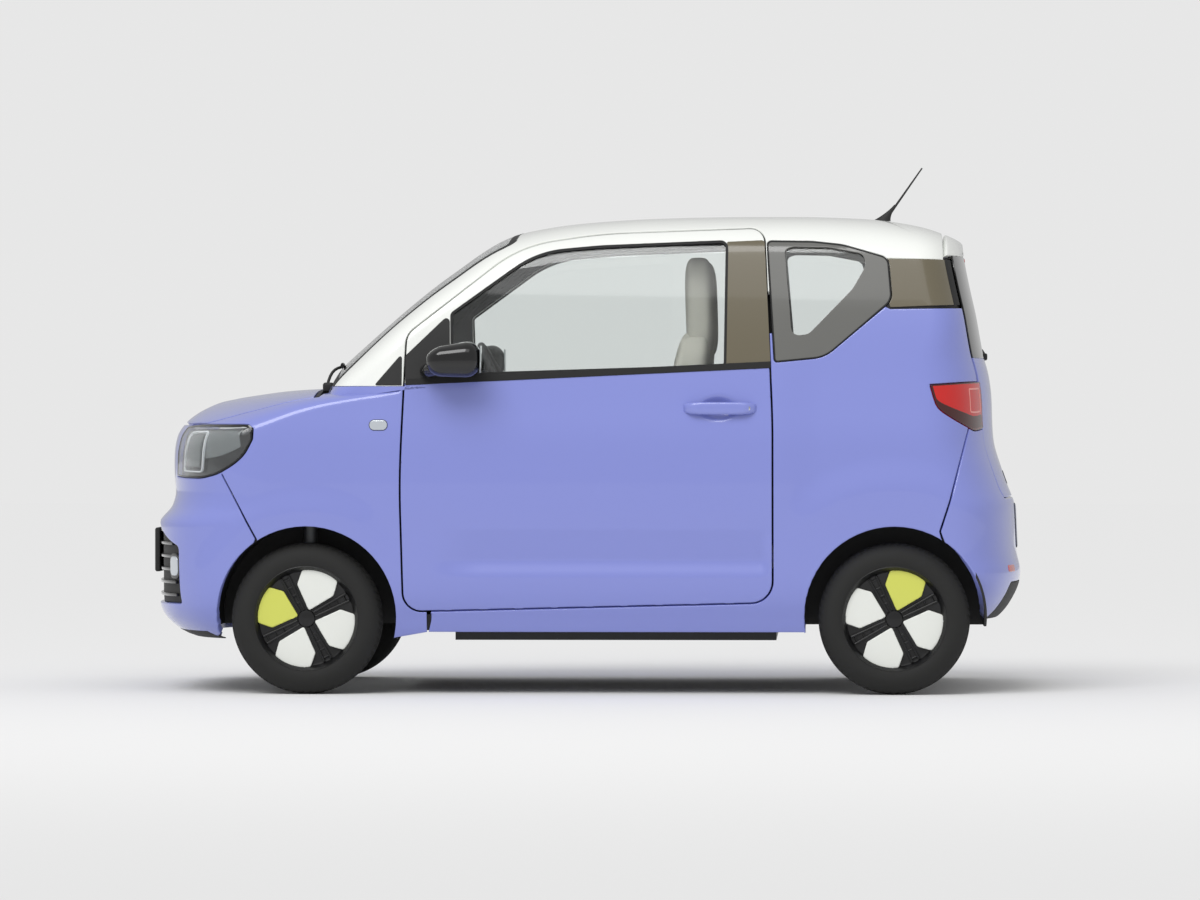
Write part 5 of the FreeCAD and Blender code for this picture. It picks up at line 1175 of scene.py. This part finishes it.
# Mirrors, handles, repeaters and antenna
mirror = {"low": (0.327, 0.744, 1.044), "high": (0.507, 0.872, 1.168), "middle": 1.096, "round": 0.050,
          "fallAbove": 0.42, "fallBelow": 0.10, "fallOut": 0.06, "footRadius": 0.024,
          "glassLow": (0.3262, 0.766, 1.060), "glassHigh": (0.3292, 0.852, 1.150)}
handle = {"x": -0.456, "z": 0.944, "reach": 0.119, "bulge": 0.026, "sunk": 0.008, "half": 0.0205, "end": 0.012,
          "slim": 0.0075, "square": 0.7, "lockX": -0.548, "lockOut": 0.019}


def mirrorTaper(points):
    # Slimmer with the square of the way forward and in step with the way out, its top falling most
    size = np.array(mirror["high"]) - mirror["low"]
    share, out = np.moveaxis((points - mirror["low"]) / size, -1, 0)[:2]
    up = points[..., 2] - mirror["middle"]
    fall = np.where(up > 0, mirror["fallAbove"], mirror["fallBelow"]) * share ** 2
    z = mirror["middle"] + up * (1 - fall) * (1 - mirror["fallOut"] * out)
    return np.stack([points[..., 0], points[..., 1], z], axis=-1)


def handleRings():
    # Squarish rings of a bar that bulges off the door and dies into it at both ends
    t = np.linspace(-1, 1, 33)[:, None]
    away = np.abs(t)
    x = handle["x"] + handle["reach"] * t
    y = formWidth(x, 0 * x + handle["z"]) + handle["bulge"] * (1 - away ** 5) - handle["sunk"]
    tall = handle["half"] * (1 - 0.35 * away ** 6)
    wide = handle["slim"] + (handle["end"] - handle["slim"]) * ease((away - 0.45) / 0.35)
    turn = np.linspace(0, 2 * math.pi, 24, endpoint=False)
    c, s = (np.sign(v) * np.abs(v) ** handle["square"] for v in (np.cos(turn), np.sin(turn)))
    return np.stack([x + 0 * c, y + wide * c, handle["z"] + tall * s], axis=-1)


mirrorFoot = [(0.512, 0.700, 1.066), (0.508, 0.728, 1.068), (0.496, 0.752, 1.072), (0.470, 0.775, 1.078),
              (0.440, 0.800, 1.082)]
lockSection = [(0.0001, -0.012), (0.0085, -0.012), (0.0085, 0.001), (0.0070, 0.0022), (0.0001, 0.0022)]
lockY = formWidth(np.array([handle["lockX"]]), np.array([handle["z"]]))[0] + handle["lockOut"]
for side in ("left", "right"):
    other, tag, body = side == "right", side.capitalize(), "door_" + side
    placed(roundedBlock("mirrorShell" + tag, mirror["low"], mirror["high"], mirror["round"], "blackGloss", other,
                        mirrorTaper, 12), body, "black_gloss", "mirror_" + side)
    placed(roundedBlock("mirrorGlass" + tag, mirror["glassLow"], mirror["glassHigh"], 0.0014, "mirrorGlass", other),
           body, "black_gloss")
    placed(tube("mirrorFoot" + tag, mirrorFoot, mirror["footRadius"], "blackGloss", other, 20), body, "black_gloss")
    placed(closedGrid("doorHandle" + tag, handleRings(), "bodyPaint", other, 60), body, "body_paint")
    placed(turned("doorLock" + tag, lockSection, (handle["lockX"], lockY, handle["z"]), "chrome", 28, other), body,
           "black_trim")
repeater = rectangle(0.6405, 0.6995, 0.8725, 0.9055, 0.0165, 0.003)
onBothSides("sideRepeater", None, "root", "lamp_clear", repeater, sideLift, "lampLens", depth=0.006, proud=0.0042,
            edge=0.003, pitch=0.004)
onBothSides("repeaterRim", None, "root", "black_trim", offsetLine(repeater, -0.0016), sideLift, "seal", depth=0.003,
            proud=0.0008, edge=0.0004, pitch=0.005)
antenna = {"root": (-1.008, 0, 1.5845), "tip": (-1.130, 0, 1.7590), "radius": 0.0045, "taper": 0.55,
           "foot": (-0.992, 0, 1.5790), "footRise": (-0.0500, 0, 0.0560), "top": 0.0050, "spread": 0.020,
           "long": 1.25, "wide": 0.75}
placed(tube("antennaMast", np.linspace(antenna["root"], antenna["tip"], 12), antenna["radius"], "blackTrim",
            taper=antenna["taper"]), "root", "black_trim", "antenna")
rise = np.linspace(0, 1, 9)[:, None]
spots = np.array([antenna["foot"]]) + rise * antenna["footRise"]
size = antenna["top"] + antenna["spread"] * (1 - rise) ** 2.2
turn = np.linspace(0, 2 * math.pi, 24, endpoint=False)
ring = np.stack([spots[:, :1] + size * antenna["long"] * np.cos(turn), antenna["wide"] * size * np.sin(turn),
                 spots[:, 2:] + 0 * turn], axis=-1)
placed(closedGrid("antennaBase", ring, "blackTrim"), "root", "black_trim")
print("outside details")

# Tyres with their tread, and the wheels
tyre = {"outer": 0.0725, "rim": 0.168, "round": 240, "crown": 0.046, "grooves": (-0.030, 0.0, 0.030),
        "grooveHalf": 0.0035, "grooveDeep": 0.006, "blocks": 60, "slant": 12, "cutShare": 0.25, "cutDeep": 0.004,
        "plain": 0.012}
wheel = {"face": 0.0485, "petalWall": 0.0055, "petalHigh": 0.0035, "spokes": 4, "firstPetal": 72.5,
         "lime": {"front": 1, "rear": 0}, "ribs": (0.030, 0.075, 0.120, 0.153), "webs": (0.058, 0.086, 0.114, 0.142),
         "ribGap": 0.0105, "ribRadius": 0.0042, "webRadius": 0.0030}


def tyreShape(count):
    # Sidewall bulge, shoulder and crown as one profile; the crown carries grooves round it and cuts across it
    outer, rim, radius = tyre["outer"], tyre["rim"], form["tyreRadius"]
    side = np.array([(rim - 0.001, outer - 0.015), (rim + 0.003, outer - 0.0065), (rim + 0.009, outer - 0.0040),
                     (rim + 0.017, outer - 0.0010), (rim + 0.028, outer), (rim + 0.040, outer - 0.0012),
                     (rim + 0.052, outer - 0.0060), (rim + 0.062, outer - 0.0125), (rim + 0.0705, outer - 0.0215)])
    y = np.linspace(tyre["crown"], -tyre["crown"], 47)
    top = np.stack([radius - 0.0003 - 0.0085 * (np.abs(y) / 0.050) ** 3.2, y], axis=1)
    bead = np.array([(rim - 0.001, -outer + 0.015), (rim - 0.001, 0)])
    profile = np.concatenate([side, top, side[::-1] * (1, -1), bead])
    turn = np.linspace(0, 2 * math.pi, count, endpoint=False)
    groove = (np.abs(y[:, None] - tyre["grooves"]) < tyre["grooveHalf"]).any(axis=1)[:, None]
    slant = turn * tyre["blocks"] / (2 * math.pi) + np.abs(y)[:, None] * tyre["slant"]
    cut = (slant % 1 < tyre["cutShare"]) & (np.abs(y) > tyre["plain"])[:, None]
    deep = np.zeros((len(profile), count))
    deep[len(side):len(side) + len(top)] = np.maximum(tyre["grooveDeep"] * groove, tyre["cutDeep"] * cut)
    return profile, deep


def makeWheel(end, side):
    # One tyre, its rim and cap, four inserts and the ribs and webs between them
    other, tag, body = side == "right", end.capitalize() + side.capitalize(), "wheel_%s_%s" % (end, side)
    centre = (form[end + "Axle"], form["wheelY"], form["tyreRadius"])
    profile, deep = tyreShape(tyre["round"])
    placed(turned("tyre" + tag, profile, centre, "tyre", tyre["round"], other, 35, deep), body, "tyre_rubber",
           "tyre_%s_%s" % (end, side))
    outer, face = tyre["outer"], wheel["face"]
    barrel = [(0.158, -outer + 0.016), (0.1655, -outer + 0.016), (0.1672, -outer + 0.0155), (0.1672, outer - 0.016),
              (0.1735, outer - 0.0070), (0.1735, outer - 0.0052), (0.1715, outer - 0.0045), (0.1650, outer - 0.012),
              (0.1590, outer - 0.021), (0.1560, face - 0.002), (0.1500, face - 0.004), (0.0760, face - 0.0035),
              (0.0700, face - 0.0010), (0.0001, face - 0.0010), (0.0001, face - 0.012), (0.150, face - 0.014),
              (0.156, face - 0.020)]
    placed(turned("wheelRim" + tag, barrel, centre, "wheelBlack", 120, other), body, "wheel_cover",
           "wheel_%s_%s" % (end, side))
    cap = [(0.0001, face + 0.0065), (0.0200, face + 0.0060), (0.0265, face + 0.0045), (0.0285, face + 0.0010),
           (0.0300, face - 0.002), (0.0001, face - 0.002)]
    placed(turned("hubCap" + tag, cap, centre, "wheelBlack", 48, other), body, "wheel_cover")

    def onFace(high):
        # Polar places on the wheel's outer face; crowned inserts stand a little higher at their middle
        def lift(flat):
            away = np.hypot(flat[:, 0], flat[:, 1])
            return np.stack([centre[0] - flat[:, 0], centre[1] + face + high * (1 - ((away - 0.095) / 0.075) ** 2),
                             centre[2] + flat[:, 1]], axis=1)
        return lift

    def spoke(flat, name, radius, off, sides):
        # A thin tube over flat places (forward, up), standing this far off the face
        path = [(centre[0] - a, centre[1] + face + off, centre[2] + b) for a, b in flat]
        placed(tube(name, path, radius, "wheelBlack", other, sides), body, "wheel_cover")

    petal = [(0.028, 0, 0.006), (0.117, 32.5, 0.014), (0.161, 22.5, 0.010), (0.1628, 11, 0.05), (0.1632, 0, 0.05),
             (0.1628, -11, 0.05), (0.161, -22.5, 0.010), (0.117, -32.5, 0.014)]
    for number in range(wheel["spokes"]):
        angle, name = math.radians(wheel["firstPetal"] + 90 * number), "%s%d" % (tag, number + 1)
        turns = [(r, angle + math.radians(a), c) for r, a, c in petal]
        corners = [(r * math.cos(a), r * math.sin(a), c) for r, a, c in turns]
        placed(panel("wheelInsert" + name, roundedOutline(corners, 0.004), onFace(wheel["petalHigh"]),
                     "petalLime" if number == wheel["lime"][end] else "petalWhite", depth=wheel["petalWall"] + 0.004,
                     proud=wheel["petalWall"], pitch=0.010, edge=0.0030, mirror=other), body, "wheel_cover")
        between = angle + math.radians(45)
        way, across = (np.array([math.cos(between + q), math.sin(between + q)]) for q in (0, math.pi / 2))
        sides = [{r: way * r + across * gap * (0.55 + r * 4.5) for r in wheel["ribs"] + wheel["webs"]}
                 for gap in (-wheel["ribGap"], wheel["ribGap"])]
        for letter, line in zip("ab", sides):
            spoke([line[r] for r in wheel["ribs"]], "wheelRib" + name + letter, wheel["ribRadius"], 0.001, 10)
        for step, r in enumerate(wheel["webs"]):
            web = np.linspace(sides[0][r], sides[1][r], 4)
            spoke(web, "wheelWeb%s%d" % (name, step + 1), wheel["webRadius"], -0.0005, 8)


for end in ("front", "rear"):
    for side in ("left", "right"):
        makeWheel(end, side)
print("wheels")

# Seats
seat = {"y": 0.335, "half": 0.225, "headHalf": 0.130, "rail": 0.150, "railHalf": 0.018, "seam": 0.62, "seamHalf": 0.035,
        "seamDeep": 0.10}


def bent(v, power):
    # The size of v raised to a power, its sign kept
    return np.sign(v) * np.abs(v) ** power


def cushion(name, low, high, power, seamShare, mirrored=False, lean=(0, 0), nodesHeld=()):
    # A superellipsoid block with two shallow stitched channels; lean slides x and shrinks y with height
    low, high = np.array(low, float), np.array(high, float)
    centre, reach = (low + high) / 2, (high - low) / 2
    turn = np.linspace(0, 2 * math.pi, 96, endpoint=False)
    rise = np.linspace(-0.5, 0.5, 49)[1:-1, None] * math.pi
    level, up = bent(np.cos(rise), power), bent(np.sin(rise), power)
    unit = np.stack([level * bent(np.cos(turn), power), level * bent(np.sin(turn), power), up + 0 * turn], axis=-1)
    channel = np.exp(-((np.abs(unit[..., 1:2]) - seat["seam"]) / seat["seamHalf"]) ** 2)
    points = centre + unit * reach * (1 - seamShare * channel * (seat["seamDeep"], 0, seat["seamDeep"]))
    share = (points[..., 2] - low[2]) / (high[2] - low[2])
    points[..., 0] += lean[0] * share
    points[..., 1] = centre[1] + (points[..., 1] - centre[1]) * (1 - lean[1] * share ** 2)
    thing = placed(closedGrid(name, points, "seat", mirrored, 180), "root", "seat_cloth", *nodesHeld)


low, high = seat["y"] - seat["half"], seat["y"] + seat["half"]
for side in ("left", "right"):
    other, tag = side == "right", side.capitalize()
    cushion("seatCushion" + tag, (-0.345, low, 0.435), (0.165, high, 0.585), 0.45, 0.5, other,
            nodesHeld=[] if other else ["front_seats"])
    cushion("seatBack" + tag, (-0.330, low + 0.005, 0.500), (-0.205, high - 0.005, 1.200), 0.45, 0.6, other,
            (-0.105, 0.18))
    cushion("seatHead" + tag, (-0.435, seat["y"] - seat["headHalf"], 1.120),
            (-0.340, seat["y"] + seat["headHalf"], 1.448), 0.5, 0.0, other, (0.010, 0.10))
    for letter, y in (("a", seat["y"] - seat["rail"]), ("b", seat["y"] + seat["rail"])):
        placed(roundedBlock("seatRail" + tag + letter, (-0.300, y - seat["railHalf"], 0.2625),
                            (0.120, y + seat["railHalf"], 0.450), 0.006, "steel", other), "root", "chassis_steel")
cushion("rearCushion", (-0.995, -0.435, 0.505), (-0.600, 0.435, 0.615), 0.4, 0.5, nodesHeld=["rear_seat"])
cushion("rearBack", (-0.990, -0.435, 0.560), (-0.905, 0.435, 1.075), 0.4, 0.6, lean=(-0.085, 0.04))
print("seats")

# Inside: wheel, dashboard screens, door cards, mirror
steering = {"hub": (0.270, 0.330, 1.000), "lean": 28, "radius": 0.172, "grip": 0.0135, "steps": 72, "sides": 16,
            "spokeRadius": 0.013, "spokeReach": 0.165, "hubRadius": 0.045, "columnRadius": 0.018}
column, hub = math.radians(steering["lean"]), np.array(steering["hub"])
wheelWay = np.array([math.cos(column), 0, -math.sin(column)])
wheelUp = np.array([math.sin(column), 0, math.cos(column)])
turn = np.linspace(0, 2 * math.pi, steering["steps"], endpoint=False)[:, None, None]
section = np.linspace(0, 2 * math.pi, steering["sides"], endpoint=False)[None, :, None]
outward = np.cos(turn) * (0, 1.0, 0) + np.sin(turn) * wheelUp
ring = hub + steering["radius"] * outward + steering["grip"] * (np.cos(section) * outward + np.sin(section) * wheelWay)
placed(newMesh("steeringRim", ring.reshape(-1, 3), gridFaces(steering["steps"], steering["sides"], True), ["interior"]),
       "steering_wheel", "interior_plastic", "steering_wheel")
for number, way in enumerate((np.array([0, 1.0, 0]), np.array([0, -1.0, 0]), -wheelUp)):
    path = [hub + wheelWay * (0.022 - 0.020 * t) + way * steering["spokeReach"] * t for t in np.linspace(0.15, 1, 6)]
    placed(tube("steeringSpoke%d" % (number + 1), path, steering["spokeRadius"], "interior", taper=0.8),
           "steering_wheel", "interior_plastic")
for name, places, radius, material, sides, taper in (
        ("steeringHub", (0.002, 0.006, 0.045, 0.050), steering["hubRadius"], "interior", 32, 0.9),
        ("steeringColumn", (0.045, 0.10, 0.158), steering["columnRadius"], "steel", 14, 1.0)):
    placed(tube(name, [hub + wheelWay * s for s in places], radius, material, sides=sides, taper=taper),
           "steering_wheel", "interior_plastic")
for name, low, high, radius, material, slot in (
        ("dashScreen", (0.392, -0.150, 0.985), (0.404, 0.450, 1.060), 0.005, "blackGloss", "interior_plastic"),
        ("dashShelf", (0.380, -0.600, 0.905), (0.398, 0.600, 0.925), 0.006, "interiorPale", "interior_plastic"),
        ("insideMirror", (0.298, -0.110, 1.395), (0.312, 0.110, 1.450), 0.006, "blackGloss", "black_gloss")):
    placed(roundedBlock(name, low, high, radius, material), "root", slot)
for side in ("left", "right"):
    for name, low, high, radius in (("doorRest", (-0.420, 0.560, 0.700), (0.260, 0.672, 0.745), 0.016),
                                    ("doorPocket", (-0.400, 0.600, 0.380), (0.330, 0.672, 0.520), 0.014)):
        placed(roundedBlock(name + side.capitalize(), low, high, radius, "interior", side == "right"), "door_" + side,
               "interior_plastic")
print("inside")

# Tail details
for name, outline, proud, depth, material in (
        ("rearPlate", rectangle(-0.220, 0.220, 0.480, 0.620, 0.008), 0.0040, 0.003, "rearPlate"),
        ("rearPlateHolder", rectangle(-0.224, 0.224, 0.476, 0.624, 0.010), 0.0020, 0.006, "blackTrim")):
    placed(panel(name, gatePlace(evened(outline, 0.01)), tailLift, material, depth=depth, proud=proud, edge=0.0008,
                 pitch=0.014), "root", "black_trim")
onBothSides("rearReflector", None, "root", "lamp_red", gatePlace(rectangle(0.430, 0.530, 0.402, 0.424, 0.006)),
            tailLift, "lampRed", depth=0.003, proud=0.0010, edge=0.0008)
tailHandle = gatePlace(evened(rectangle(-0.190, 0.190, 0.690, 0.734, 0.014), 0.01))
placed(panel("tailgateHandle", tailHandle, tailLift, "blackTrim", depth=0.004, proud=0.0015, edge=0.0012),
       "tailgate", "black_trim")
stopLamp = evened(gatePlace(rectangle(-0.15, 0.15, 1.436, 1.447)), 0.01)
placed(panel("highStopLamp", stopLamp, tailLift, "lampRed", depth=0.003, proud=0.0012, edge=0.0008), "tailgate",
       "lamp_red")
wiperFlat = gatePlace(np.array([(0.0, 1.118), (-0.08, 1.128), (-0.18, 1.140), (-0.28, 1.150)]))
wiperPath = tailLift(wiperFlat) - (0.008, 0, 0)
placed(tube("rearWiper", wiperPath, 0.0045, "seal"), "tailgate", "black_trim")
placed(roundedBlock("rearWiperPivot", wiperPath[0] - (0.006, 0.022, 0.012), wiperPath[0] + (0.012, 0.022, 0.012), 0.006,
                    "blackTrim"), "tailgate", "black_trim")

# What stays as the part has it only takes its finish
for material, nodesKept in {
        "underbody": ("floor_pan", "front_structure"), "blackTrim": ("wheel_liners",),
        "steel": ("battery_pack", "rear_axle", "front_suspension"),
        "cast": ("drive_motor", "knuckle_left", "knuckle_right"), "interior": ("dashboard",)}.items():
    for node in nodesKept:
        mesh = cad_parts[node].data
        mesh.materials.clear()
        mesh.materials.append(finish[material])
print("finishes")


# Floor, light and camera
studio = {"floor": 0.80, "floorHalf": 40, "sun": 1.2, "sky": 0.70, "paper": 0.80, "mirrored": 0.50,
          "sunSpread": 35, "sunWay": (-0.35, -0.75, -1.0), "softbox": 60, "softboxSize": (6.0, 3.0), "clear": 200,
          "lens": 200.5, "eye": (-0.831, 22.722, 0.972), "aim": (-0.061, 0.722, 0.807)}
finish["floor"] = shade("paleFloor", (studio["floor"],) * 3, 0.9)
finish["floor"].node_tree.nodes["Principled BSDF"].inputs["Specular IOR Level"].default_value = 0
reach = studio["floorHalf"]
newMesh("floor", [(-reach, -reach, 0), (reach, -reach, 0), (reach, reach, 0), (-reach, reach, 0)],
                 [(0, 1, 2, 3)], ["floor"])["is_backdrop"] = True
world = bpy.data.worlds.new("studioWorld")
bpy.context.scene.world = world
world.use_nodes = True
tree = world.node_tree
background = tree.nodes["Background"]
background.inputs["Color"].default_value = (1, 1, 1, 1)
paper = studio["paper"]
path = tree.nodes.new("ShaderNodeLightPath")


def mixed(ray, seen, before):
    # The world's strength as this kind of ray sees it, and as before otherwise
    blend = tree.nodes.new("ShaderNodeMix")
    blend.inputs["B"].default_value = seen
    tree.links.new(path.outputs[ray], blend.inputs["Factor"])
    if hasattr(before, "is_output"):
        tree.links.new(before, blend.inputs["A"])
    else:
        blend.inputs["A"].default_value = before
    return blend.outputs["Result"]


strength = mixed("Is Glossy Ray", studio["mirrored"], studio["sky"])
strength = mixed("Is Transmission Ray", paper, strength)
strength = mixed("Is Camera Ray", paper, strength)
tree.links.new(strength, background.inputs["Strength"])


def inScene(name, data, way, place=(0, 0, 0)):
    # A light or a camera at a place, looking along a way
    thing = bpy.data.objects.new(name, data)
    bpy.context.scene.collection.objects.link(thing)
    thing.location = place
    thing.rotation_mode = "QUATERNION"
    thing.rotation_quaternion = Vector(way).to_track_quat("-Z", "Y")
    return thing


sun = bpy.data.lights.new("softSun", "SUN")
sun.energy = studio["sun"]
sun.angle = math.radians(studio["sunSpread"])
inScene("softSun", sun, studio["sunWay"])
softbox = bpy.data.lights.new("overheadSoftbox", "AREA")
softbox.shape = "RECTANGLE"
softbox.size, softbox.size_y = studio["softboxSize"]
softbox.energy = studio["softbox"]
inScene("overheadSoftbox", softbox, (-0.5, -4.5, -4.7), (0.5, 4.5, 5.5))
lens = bpy.data.cameras.new("photoCamera")
lens.lens = studio["lens"]
lens.clip_end = studio["clear"]
camera = inScene("photoCamera", lens, Vector(studio["aim"]) - Vector(studio["eye"]), studio["eye"])
bpy.context.scene.camera = camera
bpy.context.scene.view_settings.view_transform = "Standard"
low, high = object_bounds()
